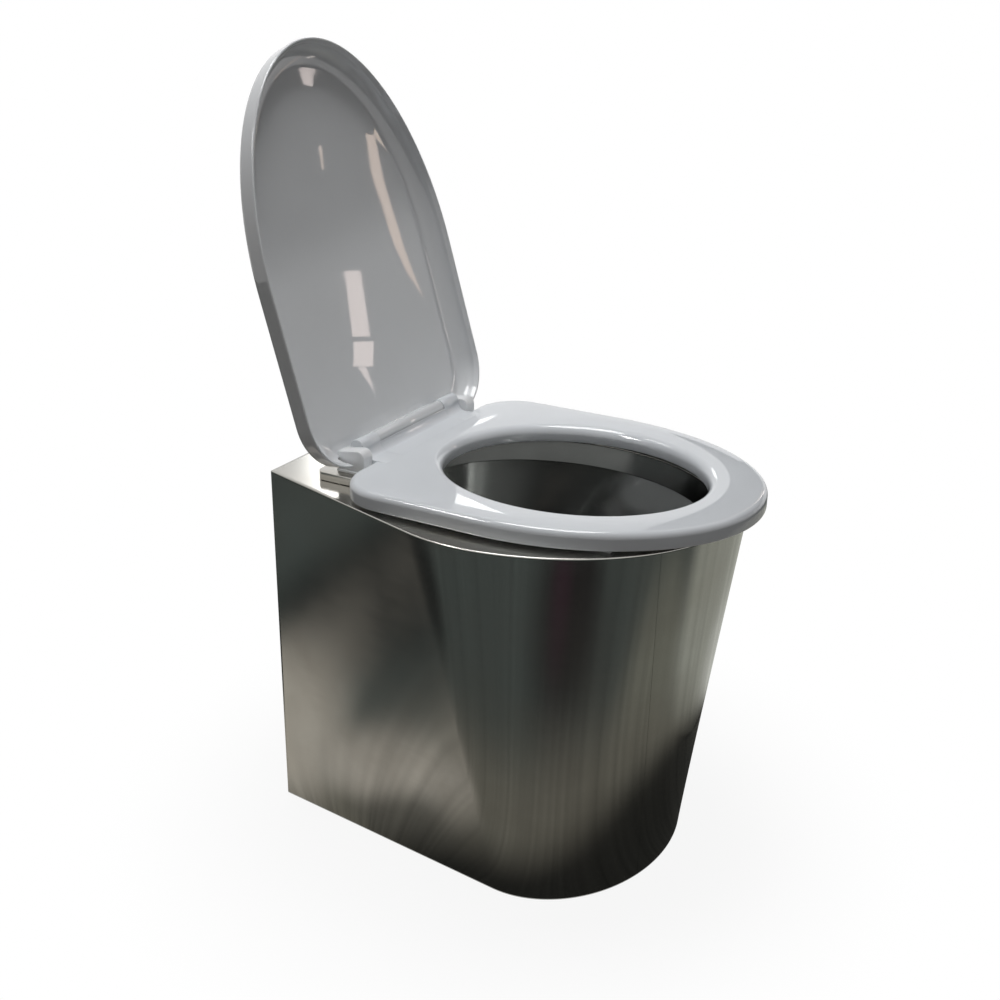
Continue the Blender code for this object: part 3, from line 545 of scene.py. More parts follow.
def add_piece(name: str, shape: Shape, finish: Material, place: Place,
              sharp: float = 35.0) -> None:
    """Makes a visible piece of a shape.

    Args:
        name: the piece's name.
        shape: its shape, which is freed.
        finish: its material.
        place: its body and nodes; its slot is not used.
        sharp: the edge angle in degrees from which shading stays sharp.
    """
    mesh = to_mesh(name, shape)
    mesh.materials.append(finish)
    made = bpy.data.objects.new(name, mesh)
    bpy.context.scene.collection.objects.link(made)
    mesh.shade_smooth()
    mesh.set_sharp_from_angle(angle=math.radians(sharp))
    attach(made, place.body.value)
    if place.nodes:
        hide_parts(*place.nodes)
    log.info("%s: %d faces on %s", name, len(mesh.polygons), place.body.value)


def arc(centre: PlanPoint, radius: float, start: float, end: float, steps: int) -> list[PlanPoint]:
    """Points on an arc, its angles in degrees, both ends included.

    Args:
        centre: the middle of its circle.
        radius: its radius.
        start: the first angle.
        end: the last angle.
        steps: how many lines make the arc.

    Returns:
        One point more than it has lines.
    """
    found = []
    for step in range(steps + 1):
        angle = math.radians(start + (end - start) * step / steps)
        found.append((centre[0] + radius * math.cos(angle), centre[1] + radius * math.sin(angle)))
    return found


def ellipse(centre: PlanPoint, half_width: float, half_length: float, steps: int) -> list[PlanPoint]:
    """Points all the way round an ellipse."""
    return [(centre[0] + half_width * math.cos(turn), centre[1] + half_length * math.sin(turn))
            for turn in (math.tau * step / steps for step in range(steps))]


def plan_normals(points: list[PlanPoint]) -> list[Vector]:
    """Unit normals of a closed plan line, all towards its inside.

    Args:
        points: the closed line's points in order.

    Returns:
        One inward normal per point.
    """
    count = len(points)
    centre = sum((Vector(point) for point in points), Vector((0, 0))) / count
    found = []
    for number in range(count):
        along = Vector(points[(number + 1) % count]) - Vector(points[number - 1])
        normal = Vector((-along.y, along.x)).normalized()
        found.append(normal if normal.dot(centre - Vector(points[number])) > 0 else -normal)
    return found


def inset(points: list[PlanPoint], distance: float) -> list[PlanPoint]:
    """A closed plan line moved inwards."""
    return [tuple(Vector(point) + normal * distance) for point, normal in zip(points, plan_normals(points))]


@dataclass(frozen=True)
class Datum:
    """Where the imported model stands, and its nodes by name."""

    shift: float
    hinge: Vector
    nodes: dict[str, bpy.types.Object]

    @classmethod
    def measured(cls, frame: dict, rear: float) -> "Datum":
        """Reads the drawing's shift from the rear panel and the axis from the first joint."""
        return cls(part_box("rear_panel")[1].y - rear, Vector(frame["joints"][0]["pos_m"]), frame["nodes"])

    def at(self, x: float, y: float, z: float) -> Point:
        """A drawing point in the model's frame."""
        return x, y + self.shift, z


def dress(datum: Datum, starts: tuple[str, ...], finish: Material) -> None:
    """Gives the carried-over nodes whose names start so their finish.

    Args:
        datum: the model with its nodes.
        starts: how the names start.
        finish: the material.
    """
    for name, node in datum.nodes.items():
        if name.startswith(starts):
            for slot in node.material_slots:
                slot.material = finish
            log.info("%s: %s", name, finish.name)


# Pan

@dataclass(frozen=True)
class PanPlan:
    """The pan's plan at one height: a straight side, a short blend and a half ellipse."""

    width: float
    widest_y: float
    nose: float
    seam: float
    rear_width: float = 0.260
    rear_y: float = 0.264
    blend: float = 14.0
    edge_steps: int = 12
    blend_steps: int = 16
    side_steps: int = 40
    front_steps: int = 28

    def nose_point(self, angle: float) -> Vector:
        """A point of the front half ellipse, its angle in degrees from the side."""
        turn = math.radians(angle)
        return Vector((self.width / 2 * math.cos(turn), self.widest_y - self.nose * math.sin(turn)))

    def side(self, trim: float = 0.0) -> list[Vector]:
        """The right side from the rear corner to the seam.

        Args:
            trim: how far the line starts in front of the rear corner.

        Returns:
            The line's points.
        """
        corner = Vector((self.rear_width / 2, self.rear_y))
        along = (self.nose_point(0) - corner).normalized()
        end = self.nose_point(self.blend)
        turn = math.radians(self.blend)
        heading = Vector((-self.width / 2 * math.sin(turn), -self.nose * math.cos(turn)))
        cross = along.x * heading.y - along.y * heading.x
        gap = end - corner
        control = corner + along * ((gap.x * heading.y - gap.y * heading.x) / cross)
        start = control - along * (end - control).length
        first = corner + along * trim
        line = [first.lerp(start, step / self.edge_steps) for step in range(self.edge_steps)]
        line += [(1 - s) ** 2 * start + 2 * s * (1 - s) * control + s * s * end
                 for s in (step / self.blend_steps for step in range(self.blend_steps))]
        return line + [self.nose_point(self.blend + (self.seam - self.blend) * step / self.side_steps)
                       for step in range(self.side_steps + 1)]

    def front(self) -> list[Vector]:
        """The right half of the front from the seam to the middle."""
        return [self.nose_point(self.seam + (90 - self.seam) * step / self.front_steps)
                for step in range(self.front_steps + 1)]

    def whole(self) -> list[PlanPoint]:
        """The closed plan, the right side first and the rear edge last.

        Returns:
            The plan's points.
        """
        right = self.side() + self.front()[1:]
        half, steps = self.rear_width / 2, self.edge_steps
        rear = [(half * (step / steps - 1), self.rear_y) for step in range(1, 2 * steps)]
        return [tuple(p) for p in right] + [(-p.x, p.y) for p in reversed(right[:-1])] + rear


@dataclass(frozen=True)
class Pan:
    """The wrapped steel pan: skirt panels, deck, collar and bowl."""

    datum: Datum
    finishes: Finishes
    top: PanPlan = PanPlan(0.408, 0.016, 0.240, 57.0)
    foot: PanPlan = PanPlan(0.325, -0.044, 0.128, 68.0)
    height: float = 0.415
    sheet: float = 0.002
    gap: float = 0.0003
    panel_rows: int = 40
    deck_round: float = 0.0012
    round_steps: int = 6
    mouth_width: float = 0.258
    mouth_length: float = 0.3315
    mouth_y: float = -0.01825
    mouth_flare: float = 0.0055
    mouth_steps: int = 160
    collar_depth: float = 0.024
    collar_taper: float = 0.002
    bowl_step: float = 0.003
    bowl_floor_z: float = 0.1927
    bowl_floor_length: float = 0.155
    bowl_floor_width: float = 0.140
    bowl_rear_lean: float = 0.0305
    bowl_rear_power: int = 4
    bowl_side_power: float = 1.3
    bowl_rows: int = 28
    bowl_quarter: int = 60
    bowl_sharp: float = 12.0
    crease_angle: float = 24.0
    crease_onset: float = 3.0
    crease_fade: float = 0.3
    neck_radius: float = 0.048
    neck_z: float = 0.150
    neck_power: float = 2.2
    neck_rows: int = 12
    inlet_z: float = 0.349
    inlet_radius: float = 0.0255
    inlet_reach: tuple[float, float] = (0.060, 0.170)
    inlet_steps: int = 48

    def panel(self, top: list[Vector], foot: list[Vector]) -> Shape:
        """A ruled sheet between its deck and floor lines, closed with its thickness.

        Args:
            top: the line at deck height.
            foot: the line at the floor.

        Returns:
            The panel.
        """
        under, rows = self.height - self.sheet - self.gap, self.panel_rows
        columns: list[list[Vector]] = []
        for high, low in zip(top, foot):
            column = []
            for row in range(rows + 1):
                z = under * row / rows
                spot = low.lerp(high, z / self.height)
                column.append(Vector(self.datum.at(spot.x, spot.y, z)))
            columns.append(column)
        rings: Rings = []
        for number, column in enumerate(columns):
            before = columns[max(number - 1, 0)]
            after = columns[min(number + 1, len(columns) - 1)]
            face, back = [], []
            for row, spot in enumerate(column):
                rise = column[min(row + 1, rows)] - column[max(row - 1, 0)]
                normal = rise.cross(after[row] - before[row]).normalized()
                centre = Vector(self.datum.at(0, self.foot.widest_y, spot.z))
                if normal.dot(spot - centre) < 0:
                    normal = -normal
                face.append(tuple(spot))
                back.append(tuple(spot - normal * self.sheet))
            rings.append(face + list(reversed(back)))
        return skin(rings, wrap=False, caps=True)

    def build_skirt(self) -> None:
        """Builds the two side panels and the front panel with a fine seam between them."""
        step = self.sheet + self.gap
        side_top, side_foot = self.top.side(step), self.foot.side(step)
        front_top, front_foot = self.top.front(), self.foot.front()
        for line, at in ((side_top, -1), (side_foot, -1), (front_top, 0), (front_foot, 0)):
            other = line[at - 1] if at else line[1]
            line[at] = line[at] + (other - line[at]).normalized() * self.gap / 2
        mirrored = [[Vector((-p.x, p.y)) for p in line] for line in (side_top, side_foot)]
        whole = [line + [Vector((-p.x, p.y)) for p in reversed(line[:-1])]
                 for line in (front_top, front_foot)]
        for name, top, foot in (("skirt_right", side_top, side_foot), ("skirt_left", *mirrored),
                                ("skirt_front", *whole)):
            add_piece(name + "_sheet", self.panel(top, foot), self.finishes.skirt,
                      Place(Body.PAN, "pan_steel", (name,)))

    def mouth(self, grow: float, z: float) -> list[Point]:
        """The mouth's ellipse, grown by a distance, at a height."""
        plan = ellipse((0, self.mouth_y), self.mouth_width / 2 + grow, self.mouth_length / 2 + grow,
                       self.mouth_steps)
        return [self.datum.at(x, y, z) for x, y in plan]

    def mouth_over(self, outline: list[PlanPoint], grow: float) -> list[PlanPoint]:
        """The flared mouth, with one point across from each point of an outline.

        Args:
            outline: the closed line's points.
            grow: how far the mouth is grown.

        Returns:
            As many points of the mouth.
        """
        out = grow + self.mouth_flare
        half_width, half_length = self.mouth_width / 2 + out, self.mouth_length / 2 + out
        turns = [math.atan2((y - self.mouth_y) / self.mouth_length, x / self.mouth_width)
                 for x, y in outline]
        return [(half_width * math.cos(turn), self.mouth_y + half_length * math.sin(turn))
                for turn in turns]

    def build_deck(self) -> None:
        """Builds the deck sheet with its rounded outer edge and the rolled edge of the mouth."""
        outline = self.top.whole()
        top, low, bend = self.height, self.height - self.sheet, self.deck_round
        lap = bend + bend
        outer = arc((bend, top - bend), bend, 180, 90, self.round_steps)
        levels = [(inset(outline, lap), low), (outline, low)]
        levels += [(inset(outline, across), up) for across, up in outer]
        levels += [(inset(outline, lap + bend), top), (self.mouth_over(outline, lap + bend), top)]
        levels += [(self.mouth_over(outline, across), up)
                   for across, up in arc((bend, top - bend), bend, 90, 180, self.round_steps)]
        levels += [(self.mouth_over(outline, 0), low), (self.mouth_over(outline, lap), low)]
        rings = [[self.datum.at(x, y, z) for x, y in plan] for plan, z in levels]
        add_piece("deck_sheet", skin(rings), self.finishes.deck,
                  Place(Body.PAN, "pan_steel", ("deck_plate",)))

    def build_collar(self) -> None:
        """Builds the flared ring under the mouth, with a rounded lower edge."""
        top, bottom = self.height - self.sheet - self.gap, self.height - self.sheet - self.collar_depth
        half = self.sheet / 2
        levels = [(self.mouth_flare, top), (self.sheet + self.mouth_flare, top),
                  (self.sheet - self.collar_taper, bottom + half)]
        levels += [(across - self.collar_taper, up)
                   for across, up in arc((half, bottom + half), half, 0, -180, self.round_steps)]
        levels += [(-self.collar_taper, bottom + half)]
        add_piece("bowl_collar_ring", skin([self.mouth(*level) for level in levels]), self.finishes.collar,
                  Place(Body.PAN, "bowl_steel", ("bowl_collar",)))

    def bowl_ring(self, share: float, wall: float) -> list[Point]:
        """A section of the bowl between the collar and the floor.

        The rear half is an ellipse whose back stays upright. The front half is a conic that
        leaves the widest place at an angle, which grows with depth and makes the crease.

        Args:
            share: how far down the section lies, from 0 to 1.
            wall: how far outside the inner face it is.

        Returns:
            The section's points.
        """
        top, steps = self.height - self.sheet - self.collar_depth - self.gap, self.bowl_quarter
        z = top - (top - self.bowl_floor_z) * share
        length = self.mouth_length / 2 + self.bowl_step
        rear = self.mouth_y + length - self.bowl_rear_lean * share ** self.bowl_rear_power
        length += (self.bowl_floor_length / 2 - length) * share
        width = self.mouth_width / 2 + self.bowl_step
        width += (self.bowl_floor_width / 2 - width) * share ** self.bowl_side_power
        middle = rear - length
        length, width = length + wall, width + wall
        lean = (math.radians(self.crease_angle) * min(1.0, share * self.crease_onset)
                * (1 - share) ** self.crease_fade)
        points = ellipse((0, middle), width, length, 4 * steps)[:2 * steps]
        spots = ((width, middle), (width - length * math.tan(lean) / 2, middle - length),
                 (0.0, middle - length))
        quarter = []
        for s in (step / steps for step in range(steps + 1)):
            parts = ((1 - s) ** 2, 2 * math.cos(math.pi / 4) * s * (1 - s), s * s)
            quarter.append(tuple(sum(part * spot[axis] for part, spot in zip(parts, spots)) / sum(parts)
                                 for axis in (0, 1)))
        points += [(-x, y) for x, y in quarter[:-1]] + list(reversed(quarter))[:-1]
        return [self.datum.at(x, y, z) for x, y in points]

    def neck_ring(self, share: float, wall: float) -> list[Point]:
        """A section between the bowl's floor and its neck.

        Args:
            share: how far down the section lies, from 0 to 1.
            wall: how far outside the inner face it is.

        Returns:
            The section's points.
        """
        ease = 1 - (1 - share) ** self.neck_power
        half_width, half_length = (half + (self.neck_radius - half) * ease + wall
                                   for half in (self.bowl_floor_width / 2, self.bowl_floor_length / 2))
        centre = (self.mouth_y + self.mouth_length / 2 + self.bowl_step - self.bowl_rear_lean
                  - self.bowl_floor_length / 2)
        z = self.bowl_floor_z + (self.neck_z - self.bowl_floor_z) * share
        return [self.datum.at(x, y, z)
                for x, y in ellipse((0, centre), half_width, half_length, 4 * self.bowl_quarter)]

    def build_bowl(self) -> None:
        """Builds the bowl with its upright back, sloping front, side creases and flush port."""
        rings: Rings = []
        for wall in (0.0, self.sheet):
            column = [self.bowl_ring(row / self.bowl_rows, wall) for row in range(self.bowl_rows + 1)]
            column += [self.neck_ring(row / self.neck_rows, wall) for row in range(1, self.neck_rows + 1)]
            rings += list(reversed(column)) if wall else column
        circle = ellipse((0, self.inlet_z), self.inlet_radius, self.inlet_radius, self.inlet_steps)
        port = skin([[self.datum.at(x, y, z) for x, z in circle] for y in self.inlet_reach],
                    wrap=False, caps=True)
        add_piece("bowl_chute", carved(skin(rings), [port]), self.finishes.bowl,
                  Place(Body.PAN, "bowl_steel", ("bowl_body",)), sharp=self.bowl_sharp)

    def build(self) -> None:
        """Builds the whole pan and dresses its plain sheets."""
        self.build_skirt()
        self.build_deck()
        self.build_collar()
        self.build_bowl()
        dress(self.datum, ("floor_tab", "rear_panel", "deck_stiffener"), self.finishes.skirt)


@dataclass(frozen=True)
class Pipes:
    """The waste spigot, the flush pipe and their rings behind the pan, and the trap."""

    datum: Datum
    finishes: Finishes
    tube_wall: float = 0.002
    ring_wall: float = 0.0097
    rim_round: float = 0.0004
    rim_steps: int = 2
    steps: int = 96

    def turned(self, node: str, wall: float) -> Shape:
        """A round tube as long and as wide as a node.

        Args:
            node: the node's name.
            wall: the tube's wall in metres.

        Returns:
            The tube with eased rims.
        """
        low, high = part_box(node)
        middle, reach = (low + high) / 2, (high.x - low.x) / 2
        levels = ((reach, low.y), (reach, high.y), (reach - wall, high.y), (reach - wall, low.y))
        rings = [[(x, y, z) for x, z in ellipse((middle.x, middle.z), radius, radius, self.steps)]
                 for radius, y in levels]
        return bevelled(skin(rings), self.rim_round, self.rim_steps)

    def build(self) -> None:
        """Builds both pipes and both rings and dresses the trap."""
        for end, part, wall, slot in (("tube", ("outlet_spigot", "inlet_pipe"), self.tube_wall, "pipe_steel"),
                                      ("cover", ("outlet_ring", "inlet_ring"), self.ring_wall, "pan_steel")):
            for node in part:
                add_piece(f"{node}_{end}", self.turned(node, wall), self.finishes.pipe,
                          Place(Body.PAN, slot, (node,)))
        dress(self.datum, ("trap",), self.finishes.pipe)


# Hinge

@dataclass(frozen=True)
class HingeSet:
    """The two base plates and posts, the rod and the fixings below the deck."""

    datum: Datum
    finishes: Finishes
    inner_x: float = 0.099
    post_width: float = 0.0165
    post_depth: float = 0.029
    post_front_round: float = 0.0085
    post_rear_round: float = 0.003
    post_rise: float = 0.0034
    post_fall: float = 0.0035
    post_nose: float = 0.006
    post_sill: float = 0.002
    post_chin: float = 0.005
    post_edge: float = 0.0012
    post_edge_steps: int = 4
    post_steps: int = 14
    rear_turn: float = 80.0
    rear_steps: int = 8
    rod_radius: float = 0.003
    rod_inset: float = 0.005
    rod_steps: int = 32
    ledge: float = 0.0016
    ledge_height: float = 0.0030
    plate_length: float = 0.050
    plate_width: float = 0.062
    plate_thickness: float = 0.010
    plate_margin: float = 0.010
    plate_cut: float = 0.006
    plate_edge: float = 0.0008
    deck_z: float = 0.415
    gap: float = 0.0003
    play: float = 0.0005

    def plate(self, side: Side) -> Shape:
        """A thick plate with cut rear corners and broken edges.

        Args:
            side: which of the two it is.

        Returns:
            The plate.
        """
        outer = self.inner_x + self.post_width + self.plate_margin
        inner = outer - self.plate_width
        front = self.datum.hinge.y - self.post_depth / 2 - self.play
        rear, cut = front + self.plate_length, self.plate_cut
        outline = [(inner, front), (outer, front), (outer, rear - cut), (outer - cut, rear),
                   (inner + cut, rear), (inner, rear - cut)]
        low = self.deck_z + self.gap
        rings = [[(side.value * x, y, z) for x, y in outline] for z in (low, low + self.plate_thickness)]
        return bevelled(skin(rings, wrap=False, caps=True), self.plate_edge, EDGE_STEPS)

    def post_profile(self) -> list[PlanPoint]:
        """The post's side view from the hinge axis, with a wide round at the front.

        Returns:
            The view's points in Y and Z.
        """
        half, rear_y = self.post_depth / 2, self.post_depth / 2 - self.play
        front, rear = self.post_front_round, self.post_rear_round
        bottom = self.deck_z + 2 * self.gap + self.plate_thickness - self.datum.hinge.z
        nose = -half - self.post_nose
        points = [(-half, bottom), (-half, bottom + self.post_sill), (nose, bottom + self.post_chin)]
        points += arc((nose + front, self.post_rise - front), front, 180, 90, self.post_steps)
        points += arc((half - rear - self.play, self.post_rise - self.post_fall - rear), rear,
                      self.rear_turn, 0, self.rear_steps)
        return points + [(rear_y, bottom)]

    def post(self, side: Side) -> Shape:
        """A hinge post with rounded edges and a small ledge round its foot.

        Args:
            side: which of the two it is.

        Returns:
            The post.
        """
        at, half = self.datum.hinge, self.post_depth / 2
        ends = (side.value * self.inner_x, side.value * (self.inner_x + self.post_width))
        body = bevelled(extruded(self.post_profile(), ends, at), self.post_edge, self.post_edge_steps,
                        SHARP_EDGE)
        low = self.deck_z + 2 * self.gap + self.plate_thickness
        left, right = side.ends(self.inner_x - self.play / 2, self.inner_x + self.post_width + self.ledge)
        foot = block((left, at.y - half, low), (right, at.y + half - 2 * self.play, low + self.ledge_height))
        return merged([body, bevelled(foot, self.plate_edge, EDGE_STEPS)])

    def build(self) -> None:
        """Builds the rod, plates and posts and dresses the fixings."""
        end = self.inner_x - self.rod_inset
        rod = extruded(arc((0, 0), self.rod_radius, 0, 360, self.rod_steps)[:-1], (-end, end),
                       self.datum.hinge)
        add_piece("hinge_rod_bar", rod, self.finishes.hinge_steel,
                  Place(Body.PAN, "hinge_steel", ("hinge_rod",)))
        for side in Side:
            add_piece(f"hinge_base_{side.word}_plate", self.plate(side), self.finishes.hinge_steel,
                      Place(Body.PAN, "hinge_steel", (f"hinge_base_{side.word}",)))
            add_piece(f"hinge_post_{side.word}_block", self.post(side), self.finishes.post,
                      Place(Body.PAN, "post_plastic", (f"hinge_post_{side.word}",)))
        for starts, finish in ((("hinge_stud", "steel_washer"), self.finishes.hinge_steel),
                               (("rubber_washer",), self.finishes.washer),
                               (("wing_nut",), self.finishes.nut)):
            dress(self.datum, starts, finish)


# Seat

def egg(width: float, front: float, widest: float, rear: float, corner: float) -> list[PlanPoint]:
    """A closed egg plan: a rear edge with round corners and a half ellipse at the front.

    Args:
        width: the full width.
        front: the front's Y.
        widest: the Y of the widest place.
        rear: the rear edge's Y.
        corner: the rear corners' radius.

    Returns:
        The plan's points, the right side first.
    """
    half = width / 2
    points = [((half - corner) * step / EGG_REAR_STEPS, rear) for step in range(EGG_REAR_STEPS)]
    points += arc((half - corner, rear - corner), corner, 90, 0, EGG_CORNER_STEPS)
    points += [(half, (rear - corner) + (widest - rear + corner) * step / EGG_SIDE_STEPS)
               for step in range(1, EGG_SIDE_STEPS)]
    for step in range(EGG_FRONT_STEPS + 1):
        turn = math.pi / 2 * step / EGG_FRONT_STEPS
        points.append((half * math.cos(turn), widest - (widest - front) * math.sin(turn)))
    return points + [(-x, y) for x, y in reversed(points[1:-1])]


@dataclass(frozen=True)
class Seat:
    """The white ring with its knuckles, arms and the apron along the barrel."""

    datum: Datum
    finishes: Finishes
    width: float = 0.355
    front: float = -0.415
    widest: float = -0.1845
    setback: float = 0.0205
    corner: float = 0.052
    thickness: float = 0.020
    bottom: float = -0.0294
    hole_width: float = 0.2456
    hole_length: float = 0.2885
    hole_y: float = -0.20975
    outer_round: float = 0.007
    inner_round: float = 0.011
    under_round: float = 0.002
    outer_steps: int = 10
    inner_steps: int = 12
    under_steps: int = 4
    crown: float = 0.0012
    crown_steps: int = 8
    knuckle_radius: float = 0.009
    knuckle_start: float = 0.0665
    knuckle_length: float = 0.032
    knuckle_turn: tuple[float, float] = (-135.0, 178.0)
    knuckle_steps: int = 60
    arm_edge: float = 0.0009
    arm_root: float = 0.008
    overlap: float = 0.001
    cradle_radius: float = 0.0086
    cradle_turn: tuple[float, float] = (232.0, 181.0)
    apron_root: float = 0.006
    apron_back: PlanPoint = (-0.0125, -0.0155)
    rise_radius: float = 0.009
    rise_end: float = -0.037
    rise_share: float = 0.2
    rise_steps: int = 20

    def section(self, outer: Vector, outer_in: Vector, inner: Vector, inner_out: Vector) -> list[Point]:
        """The ring's section between a point of its outline and one of its hole.

        Args:
            outer: the outline's point.
            outer_in: the outline's inward normal.
            inner: the hole's point.
            inner_out: the hole's outward normal.

        Returns:
            The section's points from the hinge axis.
        """
        big, small, under = self.outer_round, self.inner_round, self.under_round
        level = self.thickness - self.crown
        foot = arc((under, under), under, -90, -180, self.under_steps)
        rim = foot + arc((big, level - big), big, 180, 90, self.outer_steps)
        lip = foot + arc((small, level - small), small, 180, 90, self.inner_steps)
        found = [(outer + outer_in * across, up) for across, up in rim]
        start, end = outer + outer_in * big, inner + inner_out * small
        for s in (step / self.crown_steps for step in range(1, self.crown_steps)):
            found.append((start.lerp(end, s), self.thickness - self.crown * (2 * s - 1) ** 2))
        found += [(inner + inner_out * across, up) for across, up in reversed(lip)]
        return [(spot.x, spot.y, self.bottom + up) for spot, up in found]

    def ring(self) -> Shape:
        """The closed ring, lofted between its outline and its hole.

        Returns:
            The ring from the hinge axis.
        """
        outline = egg(self.width, self.front, self.widest, -self.setback, self.corner)
        half_width, half_length = self.hole_width / 2, self.hole_length / 2
        rings: Rings = []
        for (x, y), normal in zip(outline, plan_normals(outline)):
            turn = math.atan2((y - self.hole_y) / half_length, x / half_width)
            inner = Vector((half_width * math.cos(turn), self.hole_y + half_length * math.sin(turn)))
            away = Vector((math.cos(turn) / half_width, math.sin(turn) / half_length)).normalized()
            rings.append(self.section(Vector((x, y)), normal, inner, away))
        return skin(rings)

    def rise(self) -> list[PlanPoint]:
        """The hollow curve from the knuckle's front down to the seat's top, in Y and Z.

        Returns:
            The curve's points.
        """
        level = self.bottom + self.thickness - self.crown * self.rise_share
        centre = (-self.knuckle_radius - self.rise_radius, level + self.rise_radius)
        return arc(centre, self.rise_radius, 0, -90, self.rise_steps) + [(self.rise_end, level)]

    def arm(self, side: Side) -> Shape:
        """A knuckle with its arm, which runs down into the ring.

        Args:
            side: which of the two it is.

        Returns:
            The arm from the hinge axis.
        """
        root = self.bottom + self.arm_root
        points = arc((0, 0), self.knuckle_radius, *self.knuckle_turn, self.knuckle_steps) + self.rise()
        points += [(self.rise_end, root), (-self.setback - self.overlap, root)]
        ends = (side.value * self.knuckle_start, side.value * (self.knuckle_start + self.knuckle_length))
        return bevelled(extruded(points, ends), self.arm_edge, EDGE_STEPS, SHARP_EDGE)

    def apron(self) -> Shape:
        """The hollow strip that runs from the ring up to the barrel between the knuckles.

        Returns:
            The strip from the hinge axis.
        """
        points = arc((0, 0), self.cradle_radius, *self.cradle_turn, self.rise_steps) + self.rise()
        points += [(self.rise_end, self.bottom + self.arm_root),
                   (-self.setback, self.bottom + self.apron_root), self.apron_back]
        half = self.knuckle_start + self.overlap
        return extruded(points, (-half, half))

    def build(self) -> None:
        """Builds the seat and dresses its buffers."""
        shape = merged([self.ring(), self.arm(Side.LEFT), self.arm(Side.RIGHT), self.apron()])
        bmesh.ops.translate(shape, verts=shape.verts, vec=self.datum.hinge)
        add_piece("seat_moulding", shape, self.finishes.seat,
                  Place(Body.SEAT, "seat_plastic", ("seat_ring",)))
        dress(self.datum, ("seat_buffer",), self.finishes.buffer)


# Lid

@dataclass(frozen=True)
class Lid:
    """The white dish that stands open, with its notches, barrel and web."""

    datum: Datum
    finishes: Finishes
    width: float = 0.339
    length: float = 0.4224
    widest: float = 0.180
    rear: float = 0.016
    corner: float = 0.058
    depth: float = 0.0244
    lip_drop: float = 0.005
    lip_steps: int = 8
    wall: float = 0.003
    wall_steps: int = 4
    inner_wall_steps: int = 3
    draft: float = 0.002
    edge_round: float = 0.010
    edge_steps: int = 10
    inner_across: float = 0.022
    inner_up: float = 0.0165
    crown: float = 0.004
    inner_crown: float = 0.0008
    crown_steps: int = 16
    notch_x: float = 0.1195
    notch_setback: float = 0.0035
    notch_roof: float = 0.0038
    notch_margin: float = 0.010
    barrel_radius: float = 0.008
    barrel_half: float = 0.066
    barrel_edge: float = 0.0006
    barrel_steps: int = 64
    web_length: float = 0.010
    open_angle: float = 106.57

    def dish(self) -> Shape:
        """The dish: drafted wall, rounded edge, crowned plate and a rounded lip.

        Returns:
            The closed dish, drawn shut, from the hinge axis.
        """
        outline = egg(self.width, -self.length, -self.widest, self.rear, self.corner)
        top, half, steps = self.depth - self.lip_drop, self.wall / 2, self.crown_steps
        low, middle = -self.lip_drop + half, (self.rear - self.length) / 2

        def crowned(across: float, level: float, share: float, crown: float) -> list[Point]:
            """A ring of the crowned plate, shrunk to a share of the outline's inset."""
            height = level + crown * (1 - share ** 2)
            return [(x * share, middle + (y - middle) * share, height) for x, y in inset(outline, across)]

        def insets(places: list[PlanPoint]) -> Rings:
            """Rings at places that are each given as across and up."""
            return [[(x, y, up) for x, y in inset(outline, across)] for across, up in places]

        shares = [1 - step / steps for step in range(1, steps)]
        outer = [(self.draft * step / self.wall_steps,
                  low + (top - self.edge_round - low) * step / self.wall_steps)
                 for step in range(self.wall_steps)]
        outer += [(across + self.draft, up) for across, up in
                  arc((self.edge_round, top - self.edge_round), self.edge_round, 180, 90, self.edge_steps)]
        rings = insets(outer) + [crowned(outer[-1][0], top, share, self.crown) for share in shares]
        last_outer = len(rings) - 1
        inner_x, foot = self.draft + self.wall, top - self.wall - self.inner_up
        rings += [crowned(inner_x + self.inner_across, top - self.wall, share, self.inner_crown)
                  for share in reversed(shares)]
        inner = [(inner_x + self.inner_across * (1 + math.cos(turn)), foot + self.inner_up * math.sin(turn))
                 for turn in (math.pi / 2 * (1 + step / steps) for step in range(steps + 1))]
        inner += [(self.wall + self.draft * step / self.inner_wall_steps,
                   low + (foot - low) * step / self.inner_wall_steps)
                  for step in reversed(range(1, self.inner_wall_steps))]
        inner += reversed(arc((half, low), half, -180, 0, self.lip_steps)[1:])
        return skin(rings + insets(inner), open_after=last_outer)

    def cutters(self) -> list[Shape]:
        """The boxes that open the rear wall round the posts and the barrel.

        Returns:
            The boxes.
        """
        margin = self.notch_margin
        roof = self.depth - self.lip_drop - self.wall - self.notch_roof
        low, high, rear = -self.lip_drop - margin, self.depth + margin, self.rear + margin
        tools = [block((-self.notch_x, self.notch_setback, low), (self.notch_x, rear, roof))]
        for side in Side:
            left, right = side.ends(self.barrel_half, self.notch_x)
            tools.append(block((left, self.notch_setback, low), (right, rear, high)))
        return tools

    def barrel(self) -> Shape:
        """The round barrel with broken ends."""
        circle = arc((0, 0), self.barrel_radius, 0, 360, self.barrel_steps)[:-1]
        return bevelled(extruded(circle, (-self.barrel_half, self.barrel_half)), self.barrel_edge,
                        EDGE_STEPS, SHARP_EDGE)

    def web(self) -> Shape:
        """The block that carries the barrel."""
        top, half = self.depth - self.lip_drop - self.wall / 2, self.web_length / 2
        return block((-self.barrel_half, -half, self.barrel_radius / 2), (self.barrel_half, half, top))

    def build(self) -> None:
        """Builds the lid and turns it open on the hinge."""
        shape = merged([carved(self.dish(), self.cutters()), self.barrel(), self.web()])
        turn = Matrix.Translation(self.datum.hinge) @ Matrix.Rotation(math.radians(-self.open_angle), 4, "X")
        bmesh.ops.transform(shape, matrix=turn, verts=shape.verts)
        add_piece("lid_moulding", shape, self.finishes.lid,
                  Place(Body.LID, "lid_plastic", ("lid_shell",)))


# Stage

